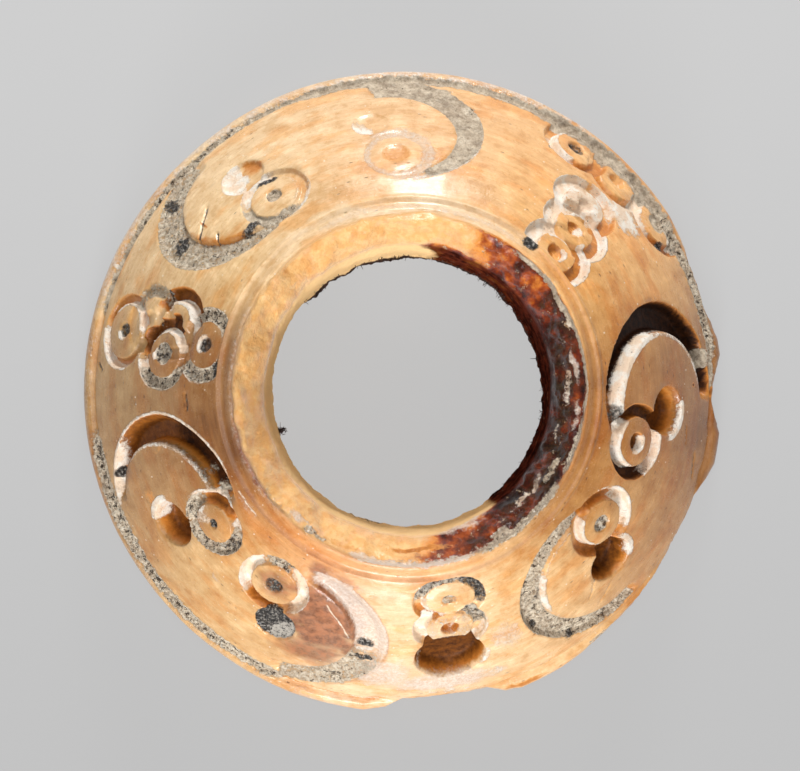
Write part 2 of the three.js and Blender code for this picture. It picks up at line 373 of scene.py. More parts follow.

    # ---- deposits, stains, painted light and painted shade ---------------------
    def _ring_zone(self, k, zone):
        a, r, R, Ri = RINGS[k][:4]
        C, A = PLACES[k]
        i, ax, dist, clock, lean = self.local(C, A, R + 0.5, SQUASH.get(k, 1.0))
        if zone == "groove":
            w = smooth(Ri - 0.06, Ri + 0.08, dist) * (1 - smooth(R - 0.04, R + 0.10, dist))
        elif zone == "inner":      # island's own wall and edge
            w = smooth(Ri - 0.22, Ri - 0.08, dist) * (1 - smooth(Ri + 0.12, Ri + 0.24, dist))
        elif zone == "outer":      # outer wall and lip
            w = smooth(R - 0.26, R - 0.12, dist) * (1 - smooth(R + 0.06, R + 0.18, dist))
        elif zone == "dot":
            dr = RINGS[k][5]
            w = 1 - smooth(dr - 0.06, dr + 0.08, dist)
        elif zone == "dotrim":
            dr = RINGS[k][5]
            w = smooth(dr - 0.12, dr - 0.02, dist) * (1 - smooth(dr + 0.08, dr + 0.2, dist))
        elif zone == "core":
            w = 1 - smooth(Ri - 0.20, Ri - 0.06, dist)
        else:                      # island top
            w = 1 - smooth(Ri - 0.05, Ri + 0.05, dist)
        return i, w * self.lim[i], clock

    def put(self, name, i, w, amount):
        arr = getattr(self, name)
        arr[i] = np.maximum(arr[i], w * amount)

    def paint_rings(self):
        for top in (False, True):
            if top:
                for k in RINGS:
                    if k not in BROKEN_ISLANDS:
                        i, w, clock = self._ring_zone(k, "core")
                        for arr in (self.white, self.cut_shade_and_stain, self.soil, self.black, self.silver_glint, self.fill):
                            arr[i] *= 1 - w
            for k, zone, a0, a1, what, amount in RING_PAINT:
                if (zone in ("dot", "dotrim", "island")) != top:
                    continue
                i, w, clock = self._ring_zone(k, zone)
                if a0 is not None:
                    w = w * arc(clock + 14 * self.fine[i], a0, a1, 22)
                if k in DULL:
                    amount = amount * DULL[k]
                for name, q in WHAT[what].items():
                    self.put(name, i, w, q * amount)

    def paint_bore(self):
        past = PROF_S >= S_CREST
        for deg0, rad, rt, rr, what, amount in BORE_SPOTS:
            s0 = float(np.interp(-rad, -PROF[past][:60, 0], PROF_S[past][:60]))
            u = angdiff(self.deg, deg0) * DEG * 7.0
            q = np.sqrt((u / rt) ** 2 + ((self.s - s0) / rr) ** 2) + 0.7 * self.fine
            w = 1 - smooth(0.35, 1.25, q)
            for name, k in WHAT[what].items():
                arr = getattr(self, name)
                arr[:] = np.maximum(arr, w * k * amount)

    def paint_spots(self):
        for deg, rad, rt, rr, tilt, what, amount in SPOTS:
            C, A = flank_place(deg, min(max(rad, 8.65), 13.5))
            if rad > 13.5 or rad < 8.65:
                C = np.array([rad * math.sin(deg * DEG), rad * math.cos(deg * DEG),
                              1.3 if rad > 13.5 else 8.6])
            reach = max(rt, rr) * 1.9 + 0.3
            d = self.P - C
            i = np.nonzero(((d ** 2).sum(1) < reach ** 2) & (self.s > S_RIM) & (self.s < S_BEVEL + 1.5))[0]
            d = d[i]
            tan = np.array([math.cos(deg * DEG), -math.sin(deg * DEG), 0.0])
            up = np.cross(tan, A)
            u, v = d @ tan, d @ up
            ct, st = math.cos(tilt * DEG), math.sin(tilt * DEG)
            u, v = u * ct + v * st, -u * st + v * ct
            q = np.sqrt((u / rt) ** 2 + (v / rr) ** 2) + 0.34 * fbm(self.P[i], 2.6, 2, 41)
            w = 1 - smooth(0.30, 1.30, q)
            if what in ("dust_and_sheen", "shade", "maho"):
                w = w * (1 - np.clip(1.3 * self.cut_shade_and_stain[i], 0, 1))
            for name, k in WHAT[what].items():
                self.put(name, i, w, k * amount)

    def paint(self):
        P, s, deg = self.P, self.s, self.deg
        fine = fbm(P, 3.2, 3, 51)
        self.fine = fine
        med = fbm(P, 0.9, 3, 52)
        # crescents: filled with soil, or left open with painted shade inside and painted light on the walls that face
        # the lights
        for k, c in CRESCENTS.items():
            Co, Ao = flank_place(c["outer"][0], c["outer"][1])
            Ci, Ai = flank_place(c["inner"][0], c["inner"][1])
            i, ax, dist, clock, lean = self.local(Co, Ao, 4.9)
            d = P[i] - Ci
            di = d - (d @ Ai)[:, None] * Ai
            din = np.sqrt((di ** 2).sum(1)) + self.wob[i]
            clk = np.degrees(np.arctan2(d[:, 0], d[:, 1])) % 360
            inside = (1 - smooth(c["outer"][2] - 0.02, c["outer"][2] + 0.07, dist)) * smooth(
                c["inner"][2] - 0.02, c["inner"][2] + 0.14, din)
            inside *= smooth(0.02, 0.2, (din - c["inner"][2]) + (c["outer"][2] - dist))
            inside *= arc(clock, c["span"][0], c["span"][1], 9)
            edge_in = smooth(c["inner"][2] - 0.30, c["inner"][2] - 0.12, din) * (
                1 - smooth(c["inner"][2] + 0.10, c["inner"][2] + 0.36, din)) * (
                1 - smooth(c["outer"][2] - 0.1, c["outer"][2] + 0.05, dist))
            edge_out = smooth(c["outer"][2] - 0.34, c["outer"][2] - 0.12, dist) * (
                1 - smooth(c["outer"][2] + 0.04, c["outer"][2] + 0.16, dist)) * smooth(
                c["inner"][2] - 0.05, c["inner"][2] + 0.1, din)
            lip = smooth(c["outer"][2] - 0.03, c["outer"][2] + 0.04, dist) * (
                1 - smooth(c["outer"][2] + 0.08, c["outer"][2] + 0.22, dist))
            brow = smooth(c["inner"][2] - 0.26, c["inner"][2] - 0.10, din) * (
                1 - smooth(c["inner"][2] - 0.02, c["inner"][2] + 0.06, din))
            zone = dict(inside=inside, edge_in=edge_in, edge_out=edge_out, lip=lip, brow=brow)
            for zk, a0, a1, what, amount in CRESCENT_PAINT.get(k, []):
                w = zone[zk]
                if a0 is not None:
                    w = w * arc(clk + 6 * fine[i], a0, a1, 14)
                for name, q in WHAT[what].items():
                    self.put(name, i, w, q * amount)
        self.paint_rings()
        for k, a0, a1, r0, r1, what, amount in HOLE_PAINT:
            a, r, R, dep = HOLES[k]
            C, A = PLACES[k]
            i, ax, dist, clock, lean = self.local(C, A, R + 0.9)
            w = smooth(r0 * R - 0.08, r0 * R + 0.08, dist) * (1 - smooth(r1 * R - 0.08, r1 * R + 0.08, dist))
            if r0 <= 0:
                w = 1 - smooth(r1 * R - 0.08, r1 * R + 0.08, dist)
            if a0 is not None:
                w = w * arc(clock, a0, a1, 14)
            for name, q in WHAT[what].items():
                self.put(name, i, w, q * amount)
        self.paint_spots()
        self.paint_bore()
        # rim groove: soil, and painted shade in parts of the line
        sg = S_FOOT - 0.10
        for a0, a1, width, what, amount in RIM_PAINT:
            w = np.exp(-((s - sg - 0.05 * med) / width) ** 2) * arc(deg, a0, a1, 3) * (s < S_FOOT + 1.5)
            w = np.clip(w * 1.35 + 0.35 * fine * w, 0, 1.2)
            for name, q in WHAT[what].items():
                arr = getattr(self, name)
                arr[:] = np.maximum(arr, w * q * amount)
        # pale, rubbed band outside the line
        band = smooth(S_RIM + 0.35, S_RIM + 0.7, s) * (1 - smooth(S_FOOT - 0.32, S_FOOT - 0.12, s))
        for a0, a1, what, amount in BAND_PAINT:
            w = band * arc(deg, a0, a1, 8) * np.clip(0.75 + 0.6 * fine, 0, 1.2)
            for name, q in WHAT[what].items():
                arr = getattr(self, name)
                arr[:] = np.maximum(arr, w * q * amount)
        # soil caught along the outside of the collar, with stain, pale marks, dust and painted sheen, and painted
        # glints in the silver patch
        for a0, a1, s0, width, what, amount in COLLAR_PAINT:
            w = np.exp(-((s - (S_CREST + s0) - 0.10 * med) / width) ** 2) * arc(deg, a0, a1, 6)
            w = np.clip(w * 1.3 + 0.5 * fine * w, 0, 1.2)
            for name, q in WHAT[what].items():
                arr = getattr(self, name)
                arr[:] = np.maximum(arr, w * q * amount)

    # ---- final displacement ----------------------------------------------------
    def displace(self):
        P, N, s, th, deg = self.P, self.N, self.s, self.th, self.deg
        soil = np.clip(self.soil, 0, 1)
        black = np.clip(self.black, 0, 1)
        fill = np.clip(np.maximum(self.fill, 0), 0, 0.92)
        grain = fbm(P, 5.5, 3, 61, 0.65)
        cut = self.cut * (1 - fill)
        h = -cut + (fill > 0.05) * 0.06 * grain * smooth(0.05, 0.3, fill) - 0.02 * soil
        h = h + soil * 0.035 * grain + black * 0.03 * grain
        # hand-turned, worn surface of the outside
        h += self.outer * (0.035 * fbm(P, 0.22, 2, 71) + 0.010 * fbm(P, 1.2, 3, 72))
        tn = np.c_[s * 5.0, P[:, 0] * 0.35, P[:, 1] * 0.35]
        h += self.outer * 0.004 * fbm(tn, 1.0, 3, 73)
        # scratches and pores cut a little into the surface
        h -= self.scratches()
        # lumpy, spongy bone down the bore
        b = smooth(S_CREST + 0.12, S_CREST + 0.65, s) * (1 - smooth(S_LEN - 1.3, S_LEN - 0.5, s))
        Z = P * np.array([1, 1, 0.45])
        right = arc(deg, 25, 152, 15)
        low = smooth(6.9, 6.4, P[:, 2]) * arc(deg, 20, 150, 12)
        lump = fbm(Z, 0.62, 2, 81)
        cell = fbm(Z, 2.2, 3, 82)
        funnel = smooth(6.4, 7.2, P[:, 2])
        h += b * (0.10 + 0.16 * funnel) * lump
        h += b * (0.055 + 0.13 * right * funnel) * cell * (1 - 0.7 * low)
        h += b * 0.07 * (1 - right) * funnel * fbm(Z, 1.25, 2, 87)
        # the low smooth band stands a little proud, as a rounded step
        h += b * low * 0.05 * smooth(4.0, 5.5, P[:, 2])
        # broken lower lip
        lip = smooth(S_LEN - 2.2, S_LEN - 1.5, s) * (1 - smooth(S_LEN - 0.9, S_LEN - 0.45, s))
        h += lip * (0.10 * fbm(P, 2.2, 3, 83) + 0.03 * fbm(P, 7.0, 2, 84))
        # dark crust hanging on the lower lip
        self.crust = np.zeros(len(s))
        cz = np.exp(-((s - (S_LEN - 1.55)) / 0.34) ** 2)
        for a0, a1, amt in CRUST:
            self.crust = np.maximum(self.crust, cz * arc(deg, a0, a1, 3.5) * amt)
        h += self.crust * (0.17 + 0.12 * fbm(P, 3.5, 3, 85))
        # worn crest of the collar, nicked along the bevel
        crest = np.exp(-((s - S_CREST - 0.22) / 0.30) ** 2)
        nick = np.clip(fbm(np.c_[P[:, 0], P[:, 1], 0 * s], 0.75, 3, 86) - 0.12, 0, 1)
        h -= crest * nick * (0.30 + 0.25 * arc(deg, 195, 260, 12))
        # the flank rounds over towards the lip, and has no lip on the right
        h -= 0.14 * np.exp(-((s - S_HEAD) / 0.85) ** 2)
        plain = np.maximum(arc(deg, 38, 140, 18), 0.6 * arc(deg, 310, 60, 20))
        h -= plain * 0.05 * np.exp(-((s - S_HEAD - 0.02) / 0.20) ** 2)
        h += plain * 0.13 * np.exp(-((s - S_HEAD - 0.40) / 0.20) ** 2)
        Q = P + N * h[:, None]
        # rim: swellings and lost flakes
        d = rim_edge(deg)
        r = np.hypot(Q[:, 0], Q[:, 1])
        zz = Q[:, 2]
        swell = np.clip(d, 0, 1) * smooth(2.6, 0.9, zz) * (s > 1.2) * smooth(12.5, 13.6, r)
        r2 = r + swell
        limit = 14.02 + d - 0.02 * zz + 0.07 * fbm(P, 1.6, 3, 91) + 0.025 * fbm(P, 5.0, 2, 92)
        broken = (d < -0.02) & (s > 1.2) & (s < S_FOOT + 2.0)
        k = 0.04
        over = np.where(broken, r2 - limit, -1.0)
        r2 = np.where(over > 0, limit + 0.02 * over, r2)
        self.fresh = np.where(broken, smooth(0.0, 0.08, over), 0.0)
        f = np.where(r > 1e-6, r2 / r, 1)
        Q[:, 0] *= f
        Q[:, 1] *= f
        # the base stays flat
        base = (s < S_RIM - 0.1) | (s > S_LEN - 0.05)
        Q[:, 2] = np.clip(Q[:, 2], 0.0, HEIGHT)
        self.Q = Q
        return Q

    def scratches(self):
        """A few real cuts and cracks, as (deg, radius) end points on the flank."""
        out = np.zeros(len(self.s))
        self.scratch = np.zeros(len(self.s))
        for d0, r0, d1, r1, width, depth, white in SCRATCHES:
            A0, n0 = flank_place(d0, r0)
            A1, n1 = flank_place(d1, r1)
            v = A1 - A0
            L2 = v @ v
            rel = self.P - A0
            t = np.clip(rel @ v / L2, 0, 1)
            dist = np.sqrt(((rel - t[:, None] * v) ** 2).sum(1))
            # bow of the chord below the curved flank
            near = (dist < 1.0) & (self.outer > 0.5)
            i = np.nonzero(near)[0]
            side = np.cross(v / math.sqrt(L2), (n0 + n1) / 2)
            side /= np.linalg.norm(side)
            off = np.abs(rel[i] @ side + 0.05 * vnoise(self.P[i], 2.0, 95))
            tt = rel[i] @ v / L2
            w = np.exp(-(off / width) ** 2) * smooth(-0.02, 0.12, tt) * (1 - smooth(0.88, 1.02, tt))
            out[i] = np.maximum(out[i], w * depth)
            if white > 0:
                self.white[i] = np.maximum(self.white[i], w * white)
            elif white < 0:
                self.black[i] = np.maximum(self.black[i], -w * white * 1.1)
        return out


# what each named deposit, stain and piece of painted light and shade adds to each mask; orange, brown and dark are
# painted shade, white is partly pale cut bone, partly painted light on walls that face the lights
WHAT = {
    "soil": dict(soil=1.0, fill=0.55),
    "soilthin": dict(soil=0.8, fill=0.25),
    "speck": dict(soil=0.95, black=0.42, fill=0.55),
    "black": dict(soil=0.4, black=1.0, fill=0.5),
    "silver_glint": dict(soil=0.7, black=0.55, silver_glint=1.0, fill=0.5),
    "white": dict(white=1.0),
    "dust_and_sheen": dict(dust_and_sheen=1.0),
    "grit": dict(soil=0.5, maho=0.4, black=0.3),
    "maho": dict(maho=1.0),
    "shade": dict(shade=1.0),
    "orange": dict(cut_shade_and_stain=0.42),
    "brown": dict(cut_shade_and_stain=0.70),
    "dark": dict(cut_shade_and_stain=1.0),
}

# ring, zone, from, to (clock angle seen from above), what, how much
# white on the walls is painted light where they face the lights; orange, brown and dark are painted shade in grooves
# and dots; silver marks are painted glints on black deposit
RING_PAINT = [
    ("A1", "inner", None, None, "dust_and_sheen", 0.75), ("A1", "outer", 300, 200, "dust_and_sheen", 0.75), ("A1", "dot", None, None, "orange", 0.8),
    ("B1", "inner", 200, 330, "white", 0.95), ("B1", "groove", 230, 300, "white", 0.8),
    ("B1", "groove", 350, 95, "soil", 0.9), ("B1", "groove", 110, 190, "orange", 1.0),
    ("B1", "dot", None, None, "black", 0.8),
    ("B3", "groove", 180, 320, "orange", 0.9), ("B3", "outer", 90, 200, "white", 0.8),
    ("B3", "groove", 20, 90, "soil", 0.7),
    ("B2", "groove", 215, 330, "white", 1.0), ("B2", "dot", None, None, "soil", 1.0),
    ("B2", "groove", 120, 215, "orange", 1.2), ("B2", "groove", 0, 90, "soil", 0.9),
    ("B4", "groove", 205, 20, "white", 1.0), ("B4", "island", None, None, "white", 0.7), ("B4", "outer", 20, 110, "white", 0.7),
    ("B4", "groove", 110, 200, "orange", 1.0), ("B4", "dot", None, None, "orange", 1.0),
    ("B5", "groove", 205, 330, "white", 1.0), ("B5", "groove", 110, 195, "orange", 1.1),
    ("B5", "outer", 60, 175, "white", 0.9), ("B5", "dot", 200, 60, "orange", 1.2), ("B5", "dot", 60, 180, "white", 0.8),
    ("B6", "groove", 215, 345, "white", 0.95), ("B6", "groove", 110, 215, "orange", 1.25),
    ("B6", "outer", 60, 170, "white", 0.9), ("B6", "dot", 200, 60, "orange", 1.1), ("B6", "dotrim", 60, 170, "white", 0.8),
    ("C1", "groove", 300, 60, "brown", 1.15), ("C1", "groove", 135, 250, "brown", 1.25),
    ("C1", "inner", 185, 345, "white", 1.0), ("C1", "outer", 55, 165, "white", 0.85), ("C1", "groove", 70, 140, "brown", 0.6),
    ("C1", "dot", None, None, "brown", 1.1), ("C1", "dotrim", 40, 200, "white", 1.0),
    ("D1", "groove", 285, 25, "brown", 0.85), ("D1", "outer", 5, 95, "white", 1.0), ("D1", "groove", 20, 85, "white", 0.7),
    ("D1", "inner", 190, 275, "white", 1.0), ("D1", "groove", 165, 225, "orange", 1.4),
    ("D1", "dot", None, None, "silver_glint", 1.0), ("D1", "groove", 100, 150, "orange", 0.8),
    ("E1", "groove", 268, 28, "silver_glint", 1.2), ("E1", "groove", 20, 95, "black", 0.9),
    ("E1", "inner", 190, 270, "white", 0.9), ("E1", "groove", 180, 265, "orange", 1.1),
    ("E1", "inner", 95, 150, "white", 0.7), ("E1", "dot", None, None, "silver_glint", 0.75),
    ("E2", "groove", 235, 300, "white", 1.0), ("E2", "groove", 300, 20, "orange", 1.2),
    ("E2", "groove", 15, 85, "silver_glint", 1.0), ("E2", "island", None, None, "white", 0.40),
    ("E2", "dot", None, None, "orange", 1.15), ("E2", "outer", 60, 125, "white", 0.6),
    ("F1", "groove", 262, 335, "white", 1.0), ("F1", "groove", 335, 60, "silver_glint", 0.9),
    ("F1", "groove", 60, 160, "white", 0.85), ("F1", "groove", 180, 262, "brown", 0.85),
    ("F1", "dot", None, None, "black", 0.8),
    ("G1", "groove", 270, 330, "speck", 1.0), ("G1", "groove", 165, 270, "speck", 1.0),
    ("G1", "groove", 110, 190, "speck", 1.0), ("G1", "groove", 120, 165, "black", 0.62), ("G1", "groove", 335, 80, "brown", 1.0),
    ("G1", "outer", 320, 50, "white", 0.8), ("G1", "groove", 85, 112, "white", 0.9),
    ("G1", "dot", None, None, "black", 0.9), ("G1", "island", 270, 340, "white", 0.6),
    ("H1", "groove", 290, 100, "orange", 0.8), ("H1", "groove", 160, 240, "orange", 0.8),
    ("H1", "outer", 180, 290, "white", 0.9), ("H1", "inner", 330, 100, "white", 0.8),
    ("H1", "dot", None, None, "black", 0.78), ("H1", "dotrim", 180, 270, "white", 0.8),
    ("H3", "groove", 320, 100, "brown", 1.0), ("H3", "inner", 340, 130, "white", 1.0),
    ("H3", "dot", None, None, "brown", 1.2),
    ("H4", "groove", 300, 60, "speck", 0.55), ("H4", "island", None, None, "white", 0.25),
    ("H2", "groove", 130, 235, "speck", 1.0), ("H2", "inner", 310, 90, "white", 1.0),
    ("H2", "outer", 205, 260, "white", 0.9), ("H2", "dot", None, None, "silver_glint", 1.0),
    ("H2", "groove", 270, 20, "brown", 1.1), ("H2", "dotrim", 230, 320, "white", 1.0),
    ("H5", "groove", 340, 235, "speck", 1.15), ("H5", "groove", 90, 180, "black", 0.8),
    ("H5", "dot", None, None, "black", 0.8), ("H5", "dotrim", 200, 20, "white", 0.7),
    ("H5", "outer", 180, 240, "white", 0.6),
    ("I1", "groove", 250, 350, "white", 0.9), ("I1", "groove", 140, 250, "soilthin", 0.8),
    ("I1", "groove", 30, 100, "orange", 0.5), ("I1", "groove", 100, 150, "soilthin", 0.8), ("I1", "inner", 20, 110, "white", 0.35), ("I1", "dot", None, None, "soil", 0.9),
    ("I1", "outer", 60, 140, "white", 0.7),
]
DULL = {"A1": 0.8}
# hole, from, to, inner and outer edge as a share of its radius, what, how much
# brown fills are painted shade in the holes; white on the rims is partly pale cut bone, partly painted light on walls
# that face the lights; silver marks are painted glints
HOLE_PAINT = [
    ("Ah", 170, 280, 0.3, 1.1, "white", 0.7), ("Ah", 300, 60, 0.0, 0.6, "orange", 0.4),
    ("Ch", None, None, 0.0, 0.95, "brown", 1.1), ("Ch", 55, 180, 1.0, 1.26, "white", 1.0),
    ("Dh", None, None, 0.0, 1.0, "brown", 1.15), ("Dh", 20, 75, 0.98, 1.3, "white", 0.9),
    ("Ep", None, None, 0.0, 0.98, "brown", 1.12), ("Ep", 74, 100, 1.0, 1.16, "white", 0.8),
    ("Ep", 150, 235, 0.80, 1.0, "orange", 1.2),
    ("Fh", None, None, 0.0, 0.98, "black", 1.15), ("Fh", 90, 215, 0.2, 0.98, "silver_glint", 0.85),
    ("Gh", None, None, 0.0, 0.98, "brown", 1.0), ("Gh", 285, 345, 0.90, 1.32, "white", 0.9),
    ("Ih", 170, 340, 0.0, 1.05, "white", 0.95), ("Ih", 350, 60, 0.35, 1.0, "orange", 0.9),
]
# dark and brown inside the crescents are painted shade; white on their edges, lips and brows is painted light on walls
# that face the lights
CRESCENT_PAINT = {
    "A": [("inside", 320, 158, "soil", 0.85), ("edge_out", 95, 160, "white", 0.6)],
    "C": [("inside", 282, 80, "dark", 0.95), ("edge_in", 215, 350, "white", 1.05), ("edge_in", 350, 60, "white", 0.55),
          ("inside", 76, 108, "speck", 0.85), ("inside", 225, 250, "speck", 0.4), ("brow", 250, 60, "white", 0.5)],
    "D": [("inside", 112, 345, "speck", 0.72), ("edge_in", 225, 262, "white", 0.7), ("brow", 200, 320, "white", 0.4)],
    "F": [("inside", 15, 112, "dust_and_sheen", 1.0), ("edge_out", 40, 110, "dust_and_sheen", 0.9), ("inside", 108, 205, "speck", 0.60),
          ("lip", 60, 150, "maho", 0.5)],
    "G": [("inside", 350, 82, "dark", 0.90), ("inside", 310, 5, "dark", 0.66), ("edge_out", 278, 322, "white", 1.1),
          ("inside", 280, 297, "black", 0.9), ("lip", 300, 60, "white", 0.75), ("brow", 320, 70, "white", 0.6),
          ("inside", 56, 85, "speck", 0.6)],
    "I": [("inside", 108, 305, "speck", 0.62), ("edge_in", 165, 225, "orange", 0.8)],
}
# spots: clock angle, radius, half width across, half height along, tilt, what, how much
SPOTS = [
    (213.6, 10.3, 1.1, 1.1, 0, "maho", 0.75),   # F ring
    (172, 12.9, 3.0, 1.0, 0, "dust_and_sheen", 0.85),   # E sheen
    (185, 12.4, 1.8, 1.6, 0, "dust_and_sheen", 0.75),
    (158, 11.6, 1.0, 1.4, 0, "dust_and_sheen", 0.55),
    (120, 12.6, 2.0, 1.3, 0, "shade", 0.25),
    (52, 13.0, 2.0, 0.8, 0, "dust_and_sheen", 0.35),
    (255, 12.5, 0.8, 1.2, 0, "shade", 0.35),
    (13.1, 12.63, 0.28, 0.45, 0, "speck", 0.8),   # A crescent dark
    (7.0, 13.22, 0.55, 0.35, 0, "soil", 0.9),   # A crescent top
    (359.5, 13.61, 1.6, 0.22, 0, "soil", 0.9),   # A rim grey
    (5.0, 13.75, 2.4, 0.16, 0, "white", 0.5),   # A rim pale
    (31.0, 12.54, 0.22, 0.35, 0, "speck", 0.9),   # B grey by 1
    (60.8, 13.0, 0.32, 0.4, 0, "black", 1.0),   # B rim black
    (61.4, 13.5, 0.4, 0.5, 0, "white", 1.2),   # B white by 2
    (39.7, 8.30, 0.42, 0.34, -20, "black", 1.0),   # B black by 6
    (51.5, 12.2, 1.3, 1.2, 0, "white", 0.75),   # B pink field
    (84.2, 13.28, 0.55, 0.55, 0, "soil", 0.9),   # C grey right end
    (96.2, 9.25, 0.7, 0.5, 0, "black", 0.75),   # C black speckle
    (90.2, 13.67, 0.3, 0.8, 0, "brown", 0.9),   # C notch
    (88.9, 12.7, 0.09, 0.12, 0, "dark", 0.9),   # C pore
    (90.6, 13.21, 0.12, 0.16, 0, "dark", 1.0),   # C pore2
    (151.3, 11.86, 0.22, 0.3, 0, "black", 0.8),   # D black
    (145.9, 13.02, 0.5, 0.22, 0, "black", 0.78),   # D black2
    (147.3, 11.0, 0.35, 0.6, 0, "white", 1.1),   # D white
    (149.8, 10.45, 0.12, 0.12, 0, "black", 0.8),   # D black3
    (141.6, 14.0, 0.8, 0.25, 0, "soilthin", 0.8),   # D rim soil
    (170.8, 13.34, 1.6, 0.28, 0, "white", 0.55),   # E scuff
    (161.9, 12.82, 0.5, 0.6, 0, "white", 0.5),   # E scuff2
    (177.4, 12.18, 0.3, 0.5, 0, "white", 0.5),   # E scuff3
    (157.6, 14.16, 1.5, 0.18, 0, "orange", 1.0),   # E chip
    (199.5, 10.7, 2.0, 2.9, -10, "maho", 1.25),   # F mahogany
    (206.0, 10.68, 0.6, 0.6, 0, "maho", 0.8),   # F mahogany2
    (201.0, 12.2, 1.8, 1.2, 0, "maho", 0.8),   # F mahogany3
    (206.5, 8.86, 0.6, 0.5, 0, "maho", 0.8),   # F brown by ring
    (189.4, 11.33, 0.50, 0.40, 0, "black", 1.1),   # F black
    (189.0, 12.0, 0.60, 0.30, 0, "black", 1.05), (195.0, 12.95, 0.9, 0.4, 0, "speck", 0.9),   # F black2
    (191.8, 10.16, 0.35, 0.7, 0, "dust_and_sheen", 0.9),   # F dust
    (189.5, 11.65, 0.4, 0.16, 0, "white", 0.9),   # F white
    (193.4, 13.07, 0.5, 0.2, 0, "speck", 0.8),   # F dots
    (253.9, 13.07, 0.36, 0.36, 0, "black", 1.05),   # G black
    (243.1, 9.47, 0.35, 0.25, 0, "orange", 1.3),   # G glow
    (247.4, 9.67, 0.45, 0.35, 0, "grit", 0.9),   # G debris
    (247.3, 12.12, 0.35, 0.45, 0, "orange", 0.7),   # G stain
    (256.5, 11.21, 0.2, 0.5, 0, "orange", 0.5),   # G stain2
    (225.6, 11.68, 0.5, 0.3, 0, "dust_and_sheen", 0.5),   # G pink smear
    (234.8, 8.71, 0.9, 0.35, 0, "dust_and_sheen", 0.4),   # G patch
    (292.3, 11.16, 0.2, 0.14, 0, "black", 0.98),   # H black
    (291.1, 11.9, 0.35, 0.3, 0, "soilthin", 0.8),   # H pit grey
    (285.3, 11.25, 0.22, 0.2, 0, "black", 0.8),   # H black2
    (276.4, 11.7, 0.25, 0.2, 0, "white", 0.6),   # H soil right of 2
    (302.7, 11.74, 0.75, 0.6, 0, "black", 0.95),   # I black
    (315.6, 9.83, 0.6, 0.35, 0, "black", 0.95),   # I black2
    (308.4, 13.11, 0.5, 0.8, 0, "black", 0.8),   # I dark rim
    (326.0, 11.0, 0.65, 0.28, 20, "black", 1.0),   # I black at ring
    (326.8, 11.87, 0.25, 0.25, 0, "orange", 1.2),   # I orange
    (322.0, 11.77, 0.45, 0.4, 0, "white", 0.9),   # I white
    (309.1, 11.43, 0.06, 0.5, 0, "dark", 0.6),   # I crack
    (293.5, 13.58, 0.14, 0.3, 0, "white", 1.1),   # I chip
    # browner ground left and right: partly stain, partly painted shade
    (260.1, 8.99, 1.1, 1.2, 0, "shade", 0.9),   # left brown
    (251.1, 8.13, 1.2, 0.8, 0, "shade", 0.8),   # left brown low
    (266.0, 9.73, 0.12, 0.5, 0, "shade", 1.0),   # left streak
    (266.9, 8.57, 0.10, 0.9, 0, "shade", 0.9),   # left streak2
    (97.6, 13.13, 1.2, 1.4, 0, "shade", 0.55),   # right tan
    (83.5, 11.51, 1.0, 1.1, 0, "shade", 0.35),   # right tan2
    (87.2, 8.27, 0.6, 1.8, 0, "shade", 0.35),   # right valley
]
# patches down the bore: clock angle, radius, half width across, half height, what, how much
BORE_SPOTS = [
    (88, 6.95, 1.0, 0.40, "white", 0.60), (81, 7.3, 0.9, 0.26, "dust_and_sheen", 0.8), (106, 6.7, 0.6, 0.30, "white", 0.55),
    (134, 6.8, 0.8, 0.40, "white", 0.58), (119, 7.2, 0.9, 0.40, "speck", 0.60), (54, 7.6, 0.8, 0.22, "soil", 0.8),
    (64, 7.55, 1.0, 0.22, "soil", 0.8), (148, 7.4, 0.7, 0.5, "soil", 0.7), (172, 7.6, 1.8, 0.30, "dust_and_sheen", 0.9),
    (190, 7.5, 1.5, 0.34, "dust_and_sheen", 0.9), (163, 7.6, 1.0, 0.26, "white", 0.62), (181, 7.3, 1.1, 0.24, "maho", 0.8),
    (243, 7.66, 1.6, 0.30, "maho", 0.95), (229, 7.6, 1.1, 0.34, "grit", 0.8), (222, 7.4, 0.8, 0.3, "dust_and_sheen", 0.8),
    (214, 7.5, 0.8, 0.24, "speck", 0.6), (97, 7.35, 1.0, 0.24, "dust_and_sheen", 0.7), (73, 7.0, 0.6, 0.3, "grit", 0.7),
    (126, 6.9, 0.6, 0.3, "dust_and_sheen", 0.7), (286, 7.1, 0.7, 0.16, "maho", 0.4), (158, 6.35, 1.6, 0.7, "dust_and_sheen", 0.8),
    (176, 6.9, 1.4, 0.3, "orange", 1.2), (203, 7.3, 1.2, 0.3, "orange", 0.6),
]
# rim line: from, to, half width, what, how much
# orange and brown in the line are painted shade
RIM_PAINT = [
    (340, 62, 0.32, "soil", 0.9), (26, 60, 0.48, "soil", 0.95), (55, 84, 0.40, "speck", 0.8), (82, 90, 0.22, "soil", 0.6),
    (184, 206, 0.16, "orange", 1.1), (203, 262, 0.34, "speck", 0.95), (236, 262, 0.44, "speck", 0.9), (284, 302, 0.20, "soilthin", 0.75),
    (300, 330, 0.24, "speck", 0.75), (328, 352, 0.26, "soil", 0.65), (256, 286, 0.10, "brown", 0.4),
]
BAND_PAINT = [(285, 42, "dust_and_sheen", 0.75), (330, 30, "white", 0.45), (42, 68, "maho", 0.45), (68, 110, "shade", 0.6),
              (200, 285, "dust_and_sheen", 0.45), (186, 204, "dust_and_sheen", 0.5), (60, 80, "soil", 0.5)]
